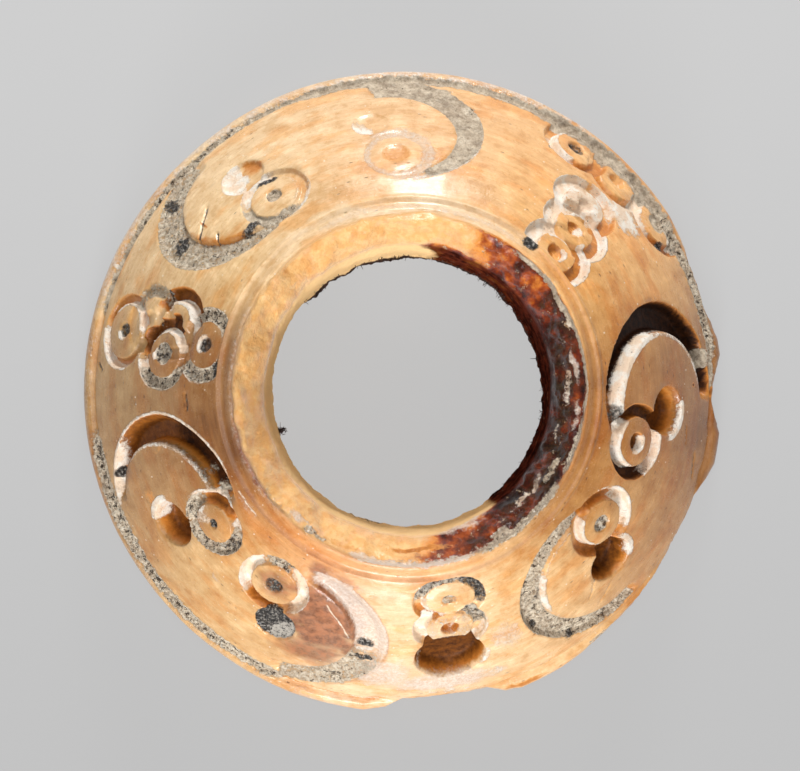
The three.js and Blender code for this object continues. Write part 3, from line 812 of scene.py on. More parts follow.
# along the collar: from, to, distance from the crest (minus is outwards), half width, what, how much
COLLAR_PAINT = [
    (36, 64, 0.30, 0.20, "soil", 0.60), (60, 100, 0.16, 0.14, "soil", 0.50), (96, 122, 0.22, 0.22, "speck", 0.52), (122, 158, 0.20, 0.34, "speck", 0.62),
    (150, 196, 0.40, 0.34, "silver_glint", 0.46), (160, 200, 0.16, 0.2, "white", 0.5),
    (330, 40, -0.30, 0.30, "dust_and_sheen", 0.40), (225, 300, 0.0, 0.40, "dust_and_sheen", 0.34), (236, 262, 0.25, 0.4, "maho", 0.6),
]
# cuts and cracks: from (deg, radius) to (deg, radius), half width, depth, pale (+) or dark (-)
SCRATCHES = [
    (201.2, 9.96, 192.7, 11.19, 0.05, 0.05, 0.9),   # F
    (198.2, 12.45, 192.3, 12.32, 0.05, 0.03, 0.6),   # F2
    (239.9, 8.73, 229.5, 8.74, 0.05, 0.05, 0.8),   # G
    (96.8, 12.4, 101.2, 12.57, 0.05, 0.05, 0.6),   # C
    (313.1, 11.85, 305.1, 11.13, 0.07, 0.12, -0.9),   # I crack
    (309.7, 10.77, 307.4, 10.44, 0.06, 0.1, -0.9),   # I tick
    (134.7, 11.68, 138.6, 12.24, 0.05, 0.05, 0.5),   # D
    (132.8, 12.36, 137.5, 12.7, 0.05, 0.05, 0.5),   # D2
    (269.3, 9.66, 264.2, 9.71, 0.07, 0.08, -0.7),   # left
    (275.4, 13.49, 273.5, 13.28, 0.07, 0.08, -0.7),   # left2
    (101.5, 13.05, 107.2, 13.28, 0.06, 0.06, -0.6),   # C3
]
# dark crust on the lower lip: from, to, how much
CRUST = [(312, 338, 1.0), (338, 6, 0.8), (4, 50, 0.65), (52, 80, 0.5), (84, 104, 0.3), (108, 136, 0.4), (186, 206, 0.4)]


# =============================================================================
# Build the whorl's mesh
# =============================================================================
def row_positions(scale):
    s = np.linspace(0, S_LEN, 8000)
    step = np.full(len(s), 0.060)
    step = np.where(s < S_RIM - 0.3, 0.45, step)
    step = np.where((s < S_RIM + 0.2) & (s >= S_RIM - 0.3), 0.10, step)
    step = np.where(s > S_BEVEL + 1.9, 0.11, step)
    step = np.where(s > S_LEN - 0.5, 0.12, step)
    step *= scale
    dens = np.cumsum(1 / step) * (s[1] - s[0])
    n = int(round(dens[-1]))
    return np.interp(np.arange(n) * dens[-1] / n, dens, s)


def painted_edges(F, ns, nt):
    """Grid points where a painted mask changes; these are not thinned out."""
    m = (1.3 * F.soil + 1.5 * F.black + F.white + F.cut_shade_and_stain + 0.5 * F.maho + 0.3 * F.dust_and_sheen + 2 * F.scratch).reshape(ns, nt)
    g = np.zeros_like(m)
    d1 = np.abs(np.roll(m, -1, 1) - m)
    d0 = np.abs(np.roll(m, -1, 0) - m)
    g = np.maximum.reduce([d0, np.roll(d0, 1, 0), d1, np.roll(d1, 1, 1)])
    return g.ravel()


def build_whorl():
    scale = 1.0
    rows = row_positions(scale)
    cols = int(1240 / scale)
    ns, nt = len(rows), cols
    th = np.arange(nt) * TAU / nt
    S, TH = np.meshgrid(rows, th, indexing="ij")
    F = Field(S.ravel(), TH.ravel())
    F.carve()
    F.paint()
    Q = F.displace()
    idx = np.arange(ns * nt).reshape(ns, nt)
    a = idx
    b = np.roll(idx, -1, axis=0)
    c = np.roll(np.roll(idx, -1, axis=0), -1, axis=1)
    d = np.roll(idx, -1, axis=1)
    quads = np.stack([a, b, c, d], -1).reshape(-1, 4)
    me = bpy.data.meshes.new("whorl_raw")
    me.vertices.add(len(Q))
    me.vertices.foreach_set("co", Q.astype(np.float32).ravel())      # in mm while it is thinned
    nq = len(quads)
    me.loops.add(nq * 4)
    me.loops.foreach_set("vertex_index", quads.astype(np.int32).ravel())
    me.polygons.add(nq)
    me.polygons.foreach_set("loop_start", (np.arange(nq) * 4).astype(np.int32))
    me.polygons.foreach_set("loop_total", np.full(nq, 4, np.int32))
    me.update(calc_edges=True)
    me.validate()
    ob = bpy.data.objects.new("whorl_raw", me)
    bpy.context.scene.collection.objects.link(ob)
    grad = painted_edges(F, ns, nt)
    budget = (48000)
    cutoff = max(0.05, float(np.partition(grad, -budget)[-budget]))
    vg = ob.vertex_groups.new(name="thin")
    vg.add(np.nonzero(grad <= cutoff)[0].tolist(), 1.0, "REPLACE")
    mod = ob.modifiers.new("dec", "DECIMATE")
    mod.decimate_type = "COLLAPSE"
    mod.ratio = min(1.0, (193000) / (2 * nq))
    mod.use_collapse_triangulate = True
    mod.vertex_group = "thin"
    mod.vertex_group_factor = 0.02
    bpy.context.view_layer.update()
    deps = bpy.context.evaluated_depsgraph_get()
    new = bpy.data.meshes.new_from_object(ob.evaluated_get(deps))
    bpy.data.objects.remove(ob)
    bpy.data.meshes.remove(me)
    co = np.empty(len(new.vertices) * 3, np.float32)
    new.vertices.foreach_get("co", co)
    new.vertices.foreach_set("co", co * MM)
    print("whorl: raw", 2 * nq, "kept", len(new.polygons), "cutoff", cutoff)
    return new


def nearest_s(r, z):
    """Arc length of the nearest point of the section, for each (r, z)."""
    s = np.linspace(0, S_LEN, 1400)
    pr = np.interp(s, PROF_S, PROF[:, 0])
    pz = np.interp(s, PROF_S, PROF[:, 1])
    out = np.empty(len(r))
    for k in range(0, len(r), 8000):
        d = (r[k:k + 8000, None] - pr) ** 2 + (z[k:k + 8000, None] - pz) ** 2
        out[k:k + 8000] = s[np.argmin(d, 1)]
    return out


def finish_mesh(me):
    n = len(me.vertices)
    co = np.empty(n * 3, np.float32)
    me.vertices.foreach_get("co", co)
    co = co.reshape(-1, 3).astype(float) / MM
    # undo the bore's lean to find each point's own place on the section
    rr = np.hypot(co[:, 0], co[:, 1])
    sh = BORE_SHIFT_X * np.clip(1 - co[:, 2] / 8.72, 0, 1) * (rr < 7.7)
    x = co[:, 0] - sh
    th = np.arctan2(x, co[:, 1])
    r = np.hypot(x, co[:, 1])
    s = nearest_s(r, co[:, 2])
    F = Field(s, th)
    F.carve()
    F.paint()
    F.displace()
    tint = tint_field(F)
    for name, val in (("soil", F.soil), ("black", F.black), ("white", F.white), ("cut_shade_and_stain", F.cut_shade_and_stain),
                      ("silver_glint", F.silver_glint), ("run", s), ("crust", F.crust), ("fresh", F.fresh),
                      ("bore", bore_mask(F)), ("tar_and_shade", tar_and_shade_mask(F)),
                      ("maho", F.maho), ("dust_and_sheen", F.dust_and_sheen), ("shade", F.shade),
                      ("hot", np.maximum(arc(F.deg, 14, 58, 14), arc(F.deg, 148, 192, 16)))):
        at = me.attributes.new(name, "FLOAT", "POINT")
        at.data.foreach_set("value", np.clip(val, 0, 100).astype(np.float32))
    at = me.attributes.new("tint", "FLOAT_COLOR", "POINT")
    at.data.foreach_set("color", np.c_[tint, np.ones(n)].astype(np.float32).ravel())
    # a two-strip map for baking: each half turn unrolled as one strip
    nl = len(me.loops)
    vi = np.empty(nl, np.int32)
    me.loops.foreach_get("vertex_index", vi)
    thl = (th[vi] % TAU).reshape(-1, 3)
    sl = s[vi].reshape(-1, 3)
    ref = thl[:, :1]
    thl = ref + (thl - ref + math.pi) % TAU - math.pi
    mid = thl.mean(1) % TAU
    shift = np.round((thl.mean(1) - mid) / TAU) * TAU
    thl = thl - shift[:, None]
    refs = sl[:, :1]
    sl = refs + (sl - refs + S_LEN / 2) % S_LEN - S_LEN / 2
    half = (mid >= math.pi).astype(float)[:, None]
    wide, tall = math.pi * 11 + 1.6, 2 * (S_LEN + 1.6)
    u = ((thl - half * math.pi) * 11 + 0.8) / wide
    v = (sl + 0.8 + half * (S_LEN + 1.6)) / tall
    uv = me.uv_layers.new(name="OFBake")
    uv.data.foreach_set("uv", np.clip(np.stack([u, v], -1), 0.0005, 0.9995).astype(np.float32).ravel())
    me.polygons.foreach_set("use_smooth", np.ones(len(me.polygons), bool))
    me.update()
    return F


def srgb(r, g, b):
    c = np.array([r, g, b], float) / 255.0
    return np.where(c <= 0.04045, c / 12.92, ((c + 0.055) / 1.055) ** 2.4)


def bore_mask(F):
    return smooth(S_CREST + 0.06, S_CREST + 0.26, F.s) * (1 - smooth(S_LEN - 0.6, S_LEN - 0.1, F.s))


def tar_and_shade_mask(F):
    """How dark the bore is stained, by clock angle and depth; the low band down the right side is partly painted shade
    deep in the bore.
    """
    lump = fbm(F.P * np.array([1, 1, 0.45]), 0.9, 3, 101)
    low = smooth(7.2, 6.6, F.P[:, 2])
    a = arc(F.deg + 9 * lump, 26, 172, 20) * (1 - smooth(6.9, 6.4, F.P[:, 2]) * smooth(134, 150, F.deg))
    # the low band down the right side: partly stain, partly painted shade deep in the bore
    b = arc(F.deg + 9 * lump, 12, 138, 12) * low
    return bore_mask(F) * np.maximum(a, b)


BONE = srgb(226, 176, 116)
# broad changes of colour, partly stains and partly painted light and shade: (clock angle, half width deg, radius, half
# width mm, colour, strength)
STAINS_AND_SHADE = [
    (0, 34, 10.5, 4.0, srgb(236, 188, 136), 0.9),
    (328, 26, 12.0, 3.5, srgb(244, 214, 168), 0.8),
    (300, 18, 11.0, 3.0, srgb(244, 204, 146), 1.0),
    (274, 17, 9.8, 2.4, srgb(142, 100, 58), 1.2),
    (272, 18, 12.8, 1.6, srgb(178, 140, 88), 1.0),
    (250, 17, 10.2, 3.0, srgb(156, 106, 58), 1.1),
    (248, 14, 12.8, 1.6, srgb(176, 130, 78), 0.9),
    (236, 12, 12.6, 1.4, srgb(216, 178, 122), 0.7),
    (215, 22, 12.0, 4.0, srgb(226, 178, 116), 0.9),
    (180, 24, 11.5, 4.0, srgb(255, 218, 176), 1.0),
    (150, 22, 11.0, 4.0, srgb(244, 198, 138), 0.9),
    (122, 20, 11.0, 3.0, srgb(208, 150, 84), 0.9),
    (122, 16, 13.0, 1.4, srgb(176, 116, 62), 0.7),
    (93, 20, 10.5, 2.8, srgb(158, 98, 42), 1.1),
    (93, 18, 13.0, 1.6, srgb(136, 84, 38), 1.1),
    (48, 24, 11.0, 4.0, srgb(244, 182, 108), 0.9),
    # round the collar: painted light and shade, pale at the top, orange at the bottom, brown on the left and right
    (112, 26, 8.3, 0.9, srgb(164, 100, 34), 1.4),
    (185, 24, 8.2, 0.8, srgb(238, 166, 104), 1.2),
    (212, 20, 8.3, 0.9, srgb(222, 144, 76), 1.2),
    (246, 20, 8.4, 0.9, srgb(144, 88, 42), 1.3),
    (274, 16, 8.4, 0.8, srgb(142, 94, 52), 1.2),
    (0, 32, 8.2, 0.7, srgb(250, 226, 188), 1.2),
]


def tint_field(F):
    P, s, deg = F.P, F.s, F.deg
    r = np.hypot(P[:, 0], P[:, 1])
    wob = 8 * fbm(P, 0.35, 2, 111)
    col = np.tile(BONE, (len(s), 1))
    acc = np.zeros(len(s))
    tot = np.zeros((len(s), 3))
    for a, wa, r0, wr, c, k in STAINS_AND_SHADE:
        w = np.exp(-(angdiff(deg + wob, a) / wa) ** 2 - ((r + 0.05 * wob - r0) / wr) ** 2) * k
        tot += w[:, None] * c
        acc += w
    tot += 0.25 * BONE
    acc += 0.25
    col = tot / acc[:, None]
    return np.clip(col, 0, 1)


# =============================================================================
# Material nodes
# =============================================================================
class Nodes:
    def __init__(self, name):
        self.mat = bpy.data.materials.new(name)
        self.mat.use_nodes = True
        self.t = self.mat.node_tree
        self.t.nodes.clear()
        self.out = self.t.nodes.new("ShaderNodeOutputMaterial")
        self.bsdf = self.t.nodes.new("ShaderNodeBsdfPrincipled")
        self.t.links.new(self.bsdf.outputs[0], self.out.inputs[0])

    def link(self, a, b):
        self.t.links.new(a, b)

    def _in(self, sock, v):
        if v is None:
            return
        if hasattr(v, "is_output"):
            self.link(v, sock)
        else:
            sock.default_value = v

    def attr(self, name, kind="Fac"):
        n = self.t.nodes.new("ShaderNodeAttribute")
        n.attribute_name = name
        return n.outputs[kind]

    def math(self, op, a, b=None, c=None, clamp=False):
        n = self.t.nodes.new("ShaderNodeMath")
        n.operation = op
        n.use_clamp = clamp
        for k, v in enumerate((a, b, c)):
            if v is not None:
                self._in(n.inputs[k], v)
        return n.outputs[0]

    def vmath(self, op, a, b=None):
        n = self.t.nodes.new("ShaderNodeVectorMath")
        n.operation = op
        self._in(n.inputs[0], a)
        if b is not None:
            self._in(n.inputs[1], b)
        return n.outputs[0]

    def step(self, x, a, b):
        n = self.t.nodes.new("ShaderNodeMapRange")
        n.interpolation_type = "SMOOTHSTEP"
        self._in(n.inputs["Value"], x)
        n.inputs["From Min"].default_value = a
        n.inputs["From Max"].default_value = b
        n.inputs["To Min"].default_value = 0
        n.inputs["To Max"].default_value = 1
        return n.outputs[0]

    def mix(self, f, a, b, mode="MIX"):
        n = self.t.nodes.new("ShaderNodeMix")
        n.data_type = "RGBA"
        n.blend_type = mode
        n.clamp_factor = True
        self._in(n.inputs[0], f)
        for sock, v in ((n.inputs[6], a), (n.inputs[7], b)):
            if hasattr(v, "is_output"):
                self.link(v, sock)
            else:
                sock.default_value = (*[float(q) for q in v], 1)
        return n.outputs[2]

    def mixf(self, f, a, b):
        n = self.t.nodes.new("ShaderNodeMix")
        n.data_type = "FLOAT"
        n.clamp_factor = True
        self._in(n.inputs[0], f)
        self._in(n.inputs[2], a)
        self._in(n.inputs[3], b)
        return n.outputs[0]

    def tone(self, f, col, k):
        """Multiply a colour by k where f is 1."""
        return self.vmath("MULTIPLY", col, self.mix(f, (1, 1, 1), k))

    def noise(self, vec, scale, detail=3, rough=0.55, out="Fac"):
        n = self.t.nodes.new("ShaderNodeTexNoise")
        self.link(vec, n.inputs["Vector"])
        n.inputs["Scale"].default_value = scale
        n.inputs["Detail"].default_value = detail
        n.inputs["Roughness"].default_value = rough
        return n.outputs[out]

    def voronoi(self, vec, scale, out="Distance", feature="F1"):
        n = self.t.nodes.new("ShaderNodeTexVoronoi")
        n.feature = feature
        self.link(vec, n.inputs["Vector"])
        n.inputs["Scale"].default_value = scale
        return n.outputs[out]

    def ramp(self, x, stops):
        n = self.t.nodes.new("ShaderNodeValToRGB")
        self._in(n.inputs[0], x)
        el = n.color_ramp.elements
        while len(el) > 1:
            el.remove(el[-1])
        el[0].position = stops[0][0]
        el[0].color = (*[float(q) for q in stops[0][1]], 1)
        for p, c in stops[1:]:
            e = el.new(p)
            e.color = (*[float(q) for q in c], 1)
        return n.outputs[0]

    def bump(self, height, strength, distance, normal=None):
        n = self.t.nodes.new("ShaderNodeBump")
        n.inputs["Strength"].default_value = strength
        n.inputs["Distance"].default_value = distance
        self.link(height, n.inputs["Height"])
        if normal is not None:
            self.link(normal, n.inputs["Normal"])
        return n.outputs[0]

    def comb(self, x, y, z):
        n = self.t.nodes.new("ShaderNodeCombineXYZ")
        for k, v in enumerate((x, y, z)):
            self._in(n.inputs[k], v)
        return n.outputs[0]

    def sep(self, v):
        n = self.t.nodes.new("ShaderNodeSeparateXYZ")
        self.link(v, n.inputs[0])
        return n.outputs


def bone_material():
    m = Nodes("bone_old")
    tc = m.t.nodes.new("ShaderNodeTexCoord")
    P = m.vmath("MULTIPLY", tc.outputs["Object"], (1000, 1000, 1000))
    run = m.attr("run")
    bore = m.attr("bore")
    tar_and_shade = m.attr("tar_and_shade")
    x, y, z = m.sep(P)
    D = m.comb(x, y, m.math("MULTIPLY", z, m.mixf(bore, 1.0, 0.45)))
    cloud = m.comb(m.math("MULTIPLY", run, 1.0), m.math("MULTIPLY", x, 0.42), m.math("MULTIPLY", y, 0.42))
    along = m.comb(m.math("MULTIPLY", run, 5.0), m.math("MULTIPLY", x, 0.6), m.math("MULTIPLY", y, 0.6))
    fine_along = m.comb(m.math("MULTIPLY", run, 13.0), m.math("MULTIPLY", x, 2.0), m.math("MULTIPLY", y, 2.0))

    n1 = m.noise(cloud, 0.9, 4, 0.62)
    n2 = m.noise(D, 1.1, 4, 0.62)
    mid = m.noise(D, 2.4, 4, 0.65)
    clump = m.noise(D, 4.2, 4, 0.7)
    grit = m.noise(D, 8.0, 4, 0.72)
    grit2 = m.noise(D, 17.0, 2, 0.6)
    streak = m.noise(along, 1.0, 4, 0.6)
    streak2 = m.noise(fine_along, 1.0, 3, 0.65)

    def soft(x0, amp, n=grit):
        return m.math("ADD", x0, m.math("MULTIPLY", m.math("SUBTRACT", n, 0.5), amp))

    col = m.attr("tint", "Color")
    # warm and pale clouds in the bone
    col = m.tone(m.step(n1, 0.46, 0.62), col, (0.97, 0.80, 0.60))
    col = m.tone(m.step(n2, 0.50, 0.68), col, (1.16, 1.22, 1.34))
    col = m.tone(m.step(n2, 0.50, 0.34), col, (0.86, 0.78, 0.66))
    # fibres of the bone and turning lines, which run round the ring
    col = m.tone(m.step(streak, 0.50, 0.72), col, (0.94, 0.88, 0.80))
    col = m.tone(m.step(streak, 0.48, 0.32), col, (1.08, 1.12, 1.16))
    col = m.tone(m.step(streak2, 0.54, 0.72), col, (1.10, 1.14, 1.24))
    col = m.tone(m.step(streak2, 0.46, 0.30), col, (0.90, 0.84, 0.76))
    col = m.mix(m.math("MULTIPLY", m.step(grit2, 0.62, 0.74), 0.28), col, srgb(255, 240, 214))
    # pores: short dark dashes
    pv = m.comb(m.math("MULTIPLY", run, 4.4), m.math("MULTIPLY", x, 1.7), m.math("MULTIPLY", y, 1.7))
    pd = m.voronoi(pv, 1.0)
    pc = m.sep(m.voronoi(pv, 1.0, "Color"))[0]
    pore = m.math("MULTIPLY", m.math("SUBTRACT", 1.0, m.step(pd, 0.05, 0.20)), m.step(pc, 0.84, 0.88))
    col = m.mix(m.math("MULTIPLY", pore, 0.6), col, srgb(96, 56, 28))
    # painted glints: tiny pale dots scattered over the bone
    wd = m.voronoi(P, 3.2)
    wc = m.sep(m.voronoi(P, 3.2, "Color"))[1]
    glint_dots = m.math("MULTIPLY", m.math("SUBTRACT", 1.0, m.step(wd, 0.08, 0.17)), m.step(wc, 0.84, 0.86))
    col = m.mix(m.math("MULTIPLY", glint_dots, 0.7), col, srgb(255, 243, 222))

    # browner ground: partly stain and streaks, partly painted shade on the left and right flanks
    shade = m.attr("shade")
    col = m.mix(m.math("MULTIPLY", soft(shade, 0.4, mid), 0.72), col, m.mix(m.step(streak, 0.40, 0.62), srgb(128, 80, 42), srgb(96, 56, 28)))
    # mahogany stain
    maho = m.attr("maho")
    mah = m.step(soft(maho, 0.45, mid), 0.05, 1.0)
    col = m.mix(m.math("MULTIPLY", mah, 0.86), col, m.mix(m.step(mid, 0.38, 0.64), srgb(110, 52, 30), srgb(172, 100, 62)))

    # the bore: amber where thin and clean, red-brown to black where stained, darkest down the low steep wall, which is
    # partly painted shade
    amber = m.mix(m.step(mid, 0.40, 0.62), srgb(246, 186, 114), srgb(255, 208, 142))
    amber = m.mix(m.math("MULTIPLY", m.step(n2, 0.50, 0.68), 0.45), amber, srgb(250, 196, 154))
    amber = m.mix(m.math("MULTIPLY", m.step(m.noise(D, 1.5, 3, 0.6), 0.56, 0.72), 0.35), amber, srgb(214, 130, 56))
    lowz = m.math("SUBTRACT", 1.0, m.step(z, 6.2, 6.9))
    amber = m.mix(m.math("MULTIPLY", lowz, 0.8), amber, srgb(255, 224, 170))
    col = m.mix(m.math("MULTIPLY", bore, 0.9), col, amber)
    hot = m.attr("hot")
    tarn = m.math("ADD", m.noise(D, 1.15, 4, 0.60), m.math("SUBTRACT", m.math("MULTIPLY", hot, 0.15), 0.07))
    tarn = m.math("ADD", tarn, m.math("MULTIPLY", m.math("SUBTRACT", 1.0, m.step(tar_and_shade, 0.35, 1.0)), 0.20))
    tarc = m.ramp(tarn, [(0.32, srgb(30, 10, 8)), (0.46, srgb(66, 20, 13)), (0.55, srgb(112, 38, 15)),
                         (0.65, srgb(170, 76, 24)), (0.78, srgb(232, 146, 60))])
    # low steep wall inside the stain: dark red-brown, partly stain, partly painted shade
    tarc = m.mix(m.math("MULTIPLY", lowz, 0.85), tarc, m.mix(m.step(mid, 0.4, 0.62), srgb(38, 17, 14), srgb(84, 40, 30)))
    tarf = m.step(soft(tar_and_shade, 0.35, clump), 0.16, 0.52)
    col = m.mix(tarf, col, tarc)
    # pale and golden crusts caught in the stained part
    gold = m.math("MULTIPLY", tarf, m.step(m.noise(D, 1.9, 5, 0.72), 0.60, 0.68))
    gold = m.math("MULTIPLY", gold, m.math("SUBTRACT", 1.0, m.math("MULTIPLY", lowz, 0.8)))
    col = m.mix(m.math("MULTIPLY", gold, 0.85), col, m.mix(m.step(grit, 0.42, 0.60), srgb(150, 112, 70), srgb(222, 206, 180)))

    # painted shade in cuts, holes and the rim line: warm orange where the shade is light, brown to black where it is
    # darkest; the same mask carries a few orange stains
    cut_shade_and_stain = m.attr("cut_shade_and_stain")
    deepn = soft(cut_shade_and_stain, 0.50, clump)
    dcol = m.ramp(deepn, [(0.15, srgb(232, 166, 90)), (0.42, srgb(204, 126, 48)), (0.66, srgb(138, 80, 26)),
                          (0.86, srgb(70, 36, 12)), (1.0, srgb(32, 15, 7))])
    col = m.mix(m.step(deepn, 0.10, 0.36), col, dcol)

    # raw, chalky cut faces and pale wear, and painted light on the cut walls that face the lights
    white = m.attr("white")
    patchy = m.math("ADD", m.math("MULTIPLY", m.noise(D, 3.0, 5, 0.75), 1.5), 0.15)
    whf = m.step(m.math("ADD", m.math("MULTIPLY", white, patchy), m.math("MULTIPLY", m.math("SUBTRACT", grit, 0.5), 0.9)), 0.30, 0.62)
    wcol = m.mix(m.step(m.noise(D, 1.5, 3, 0.6), 0.42, 0.60), srgb(248, 222, 194), srgb(255, 247, 234))
    wcol = m.mix(m.math("MULTIPLY", m.step(grit2, 0.56, 0.68), 0.5), wcol, srgb(226, 194, 160))
    wcol = m.mix(m.math("MULTIPLY", m.step(m.noise(P, 5.2, 4, 0.8), 0.62, 0.67), 0.8), wcol, srgb(92, 68, 50))
    col = m.mix(m.math("MULTIPLY", whf, 0.92), col, wcol)
    # dust, and painted sheen: the same pale wash stands for both
    dust_and_sheen = m.attr("dust_and_sheen")
    duf = m.step(m.math("ADD", soft(dust_and_sheen, 0.7, clump), m.math("MULTIPLY", m.math("SUBTRACT", grit, 0.5), 0.6)), 0.25, 0.9)
    col = m.mix(m.math("MULTIPLY", duf, 0.75), col, m.mix(m.step(grit, 0.4, 0.6), srgb(232, 208, 188), srgb(252, 240, 228)))
    fresh = m.attr("fresh")
    col = m.mix(m.math("MULTIPLY", fresh, 0.5), col, m.mix(m.step(mid, 0.42, 0.6), srgb(206, 128, 70), srgb(240, 204, 160)))

    # soil: grey-beige paste with black and pale grains
    soil = m.attr("soil")
    black = m.attr("black")
    silver_glint = m.attr("silver_glint")
    soilf = m.step(m.math("ADD", soft(soil, 0.8, clump), m.math("MULTIPLY", m.math("SUBTRACT", grit, 0.5), 0.5)), 0.36, 0.58)
    sc = m.ramp(m.math("ADD", m.math("MULTIPLY", grit, 0.6), m.math("MULTIPLY", clump, 0.4)),
                [(0.36, srgb(124, 108, 90)), (0.44, srgb(178, 160, 138)), (0.51, srgb(218, 202, 178)), (0.59, srgb(246, 236, 216))])
    smoother = m.ramp(m.math("ADD", m.math("MULTIPLY", m.noise(D, 1.9, 4, 0.6), 0.75), m.math("MULTIPLY", grit, 0.25)),
                      [(0.40, srgb(158, 144, 126)), (0.48, srgb(192, 176, 154)), (0.56, srgb(218, 202, 178)), (0.64, srgb(238, 224, 202))])
    sc = m.mix(m.step(black, 0.05, 0.40), m.mix(0.72, sc, smoother), sc)
    sc = m.tone(m.step(n2, 0.44, 0.60), sc, (0.82, 0.80, 0.79))
    spk = m.math("ADD", m.math("ADD", m.math("MULTIPLY", m.noise(D, 4.4, 5, 0.8), 0.8), m.math("MULTIPLY", grit2, 0.2)),
                 m.math("MULTIPLY", black, 0.20))
    spf = m.step(spk, 0.60, 0.645)
    sc = m.mix(spf, sc, srgb(34, 29, 26))
    col = m.mix(m.math("MULTIPLY", soilf, 0.94), col, sc)
    # black deposit, with painted glints: pale grey specks, more of them where the silver mask is set
    blackf = m.step(m.math("ADD", soft(black, 1.1, clump), m.math("MULTIPLY", m.math("SUBTRACT", grit, 0.5), 0.6)), 0.46, 0.86)
    glint = m.step(m.math("ADD", grit, m.math("MULTIPLY", silver_glint, 0.13)), 0.51, 0.60)
    bc = m.mix(m.math("MULTIPLY", glint, m.math("ADD", 0.55, m.math("MULTIPLY", silver_glint, 0.4))), srgb(30, 24, 20), srgb(200, 192, 180))
    col = m.mix(blackf, col, bc)
    crust = m.attr("crust")
    crf = m.step(soft(crust, 0.7), 0.28, 0.48)
    col = m.mix(crf, col, m.mix(m.step(grit, 0.42, 0.62), srgb(30, 20, 18), srgb(84, 60, 50)))
    m.link(col, m.bsdf.inputs["Base Color"])

    # gloss
    rough = m.mixf(m.step(mid, 0.35, 0.65), 0.26, 0.40)
    rough = m.mixf(m.math("MULTIPLY", bore, 0.85), rough, 0.16)
    rough = m.mixf(m.math("MULTIPLY", bore, lowz), rough, 0.7)
    rough = m.mixf(m.math("MULTIPLY", whf, 0.7), rough, 0.55)
    rough = m.mixf(m.math("MULTIPLY", duf, 0.5), rough, 0.45)
    rough = m.mixf(m.math("MULTIPLY", fresh, 0.7), rough, 0.6)
    deepf = m.step(cut_shade_and_stain, 0.3, 0.8)
    rough = m.mixf(m.math("MULTIPLY", deepf, 0.7), rough, 0.55)
    rough = m.mixf(soilf, rough, 0.85)
    rough = m.mixf(blackf, rough, 0.32)
    rough = m.mixf(crf, rough, 0.8)
    m.link(rough, m.bsdf.inputs["Roughness"])
    nearz = m.math("SUBTRACT", 1.0, m.step(z, 6.7, 7.7))
    spec = m.mixf(bore, 0.5, m.mixf(lowz, m.mixf(tarf, 0.5, m.mixf(nearz, 0.40, 0.12)), 0.0))
    spec = m.mixf(deepf, spec, 0.15)
    spec = m.mixf(crf, spec, 0.1)
    m.link(spec, m.bsdf.inputs["Specular IOR Level"])
    coat = m.mixf(m.math("MAXIMUM", m.math("MAXIMUM", soilf, deepf), m.math("MAXIMUM", whf, crf)), 0.34, 0.0)
    coat = m.mixf(bore, coat, m.mixf(lowz, m.mixf(tarf, 0.35, m.mixf(nearz, 0.25, 0.0)), 0.0))
    m.link(coat, m.bsdf.inputs["Coat Weight"])

    # bump
    h = m.math("MULTIPLY", streak2, m.mixf(bore, 0.30, 0.0))
    h = m.math("ADD", h, m.math("MULTIPLY", mid, 0.4))
    h = m.math("ADD", h, m.math("MULTIPLY", clump, m.mixf(bore, 0.25, 1.6)))
    h = m.math("SUBTRACT", h, m.math("MULTIPLY", pore, 0.7))
    rgh = m.math("ADD", m.math("MULTIPLY", m.math("MAXIMUM", soilf, blackf), 2.0), m.math("ADD", m.math("MULTIPLY", m.math("MAXIMUM", whf, duf), 1.2), 0.22))
    gr = m.math("MULTIPLY", m.math("ADD", grit, m.math("MULTIPLY", grit2, 0.6)), rgh)
    h = m.math("ADD", h, gr)
    h = m.math("SUBTRACT", h, m.math("MULTIPLY", spf, m.math("MULTIPLY", soilf, 0.7)))
    m.link(m.bump(h, 0.6, 0.00008), m.bsdf.inputs["Normal"])

    b = m.bsdf.inputs
    b["IOR"].default_value = 1.50
    b["Subsurface Weight"].default_value = 0.0
    b["Subsurface Radius"].default_value = (1.0, 0.42, 0.18)
    b["Subsurface Scale"].default_value = 0.0005
    b["Coat Roughness"].default_value = 0.15
    return m.mat


# =============================================================================
# Assemble
# =============================================================================
mesh = build_whorl()
field = finish_mesh(mesh)
mesh.name = "whorl"
whorl = bpy.data.objects.new("whorl", mesh)
bpy.context.scene.collection.objects.link(whorl)
mesh.materials.clear()
mesh.materials.append(bone_material())
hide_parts("bone_whorl")
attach(whorl, "root")


def strands(name, starts, dirs, lengths, radius, seed, curl):
    """Short three-sided threads, each a closed little tube."""
    rng = np.random.default_rng(seed)
    verts, faces = [], []
    for p, d, ln in zip(starts, dirs, lengths):
        p = np.array(p, float)
        d = np.array(d, float) / np.linalg.norm(d)
        bend = rng.normal(0, curl, 3)
        n = 5
        base = len(verts)
        side = np.cross(d, [0.3, 0.5, 0.8])
        side /= np.linalg.norm(side)
        oth = np.cross(d, side)
        for k in range(n):
            t = k / (n - 1)
            c = p + d * ln * t + bend * ln * t * t
            w = radius * (1 - 0.7 * t)
            for q in range(3):
                a = TAU * q / 3
                verts.append((c + side * w * math.cos(a) + oth * w * math.sin(a)) * MM)
        for k in range(n - 1):
            for q in range(3):
                a0, a1 = base + 3 * k + q, base + 3 * k + (q + 1) % 3
                faces.append((a0, a1, a1 + 3, a0 + 3))
        faces.append((base + 2, base + 1, base))
        e = base + 3 * (n - 1)
        faces.append((e, e + 1, e + 2))
    me = bpy.data.meshes.new(name)
    me.from_pydata([tuple(v) for v in verts], [], faces)
    me.update()
    ob = bpy.data.objects.new(name, me)
    bpy.context.scene.collection.objects.link(ob)
    return ob


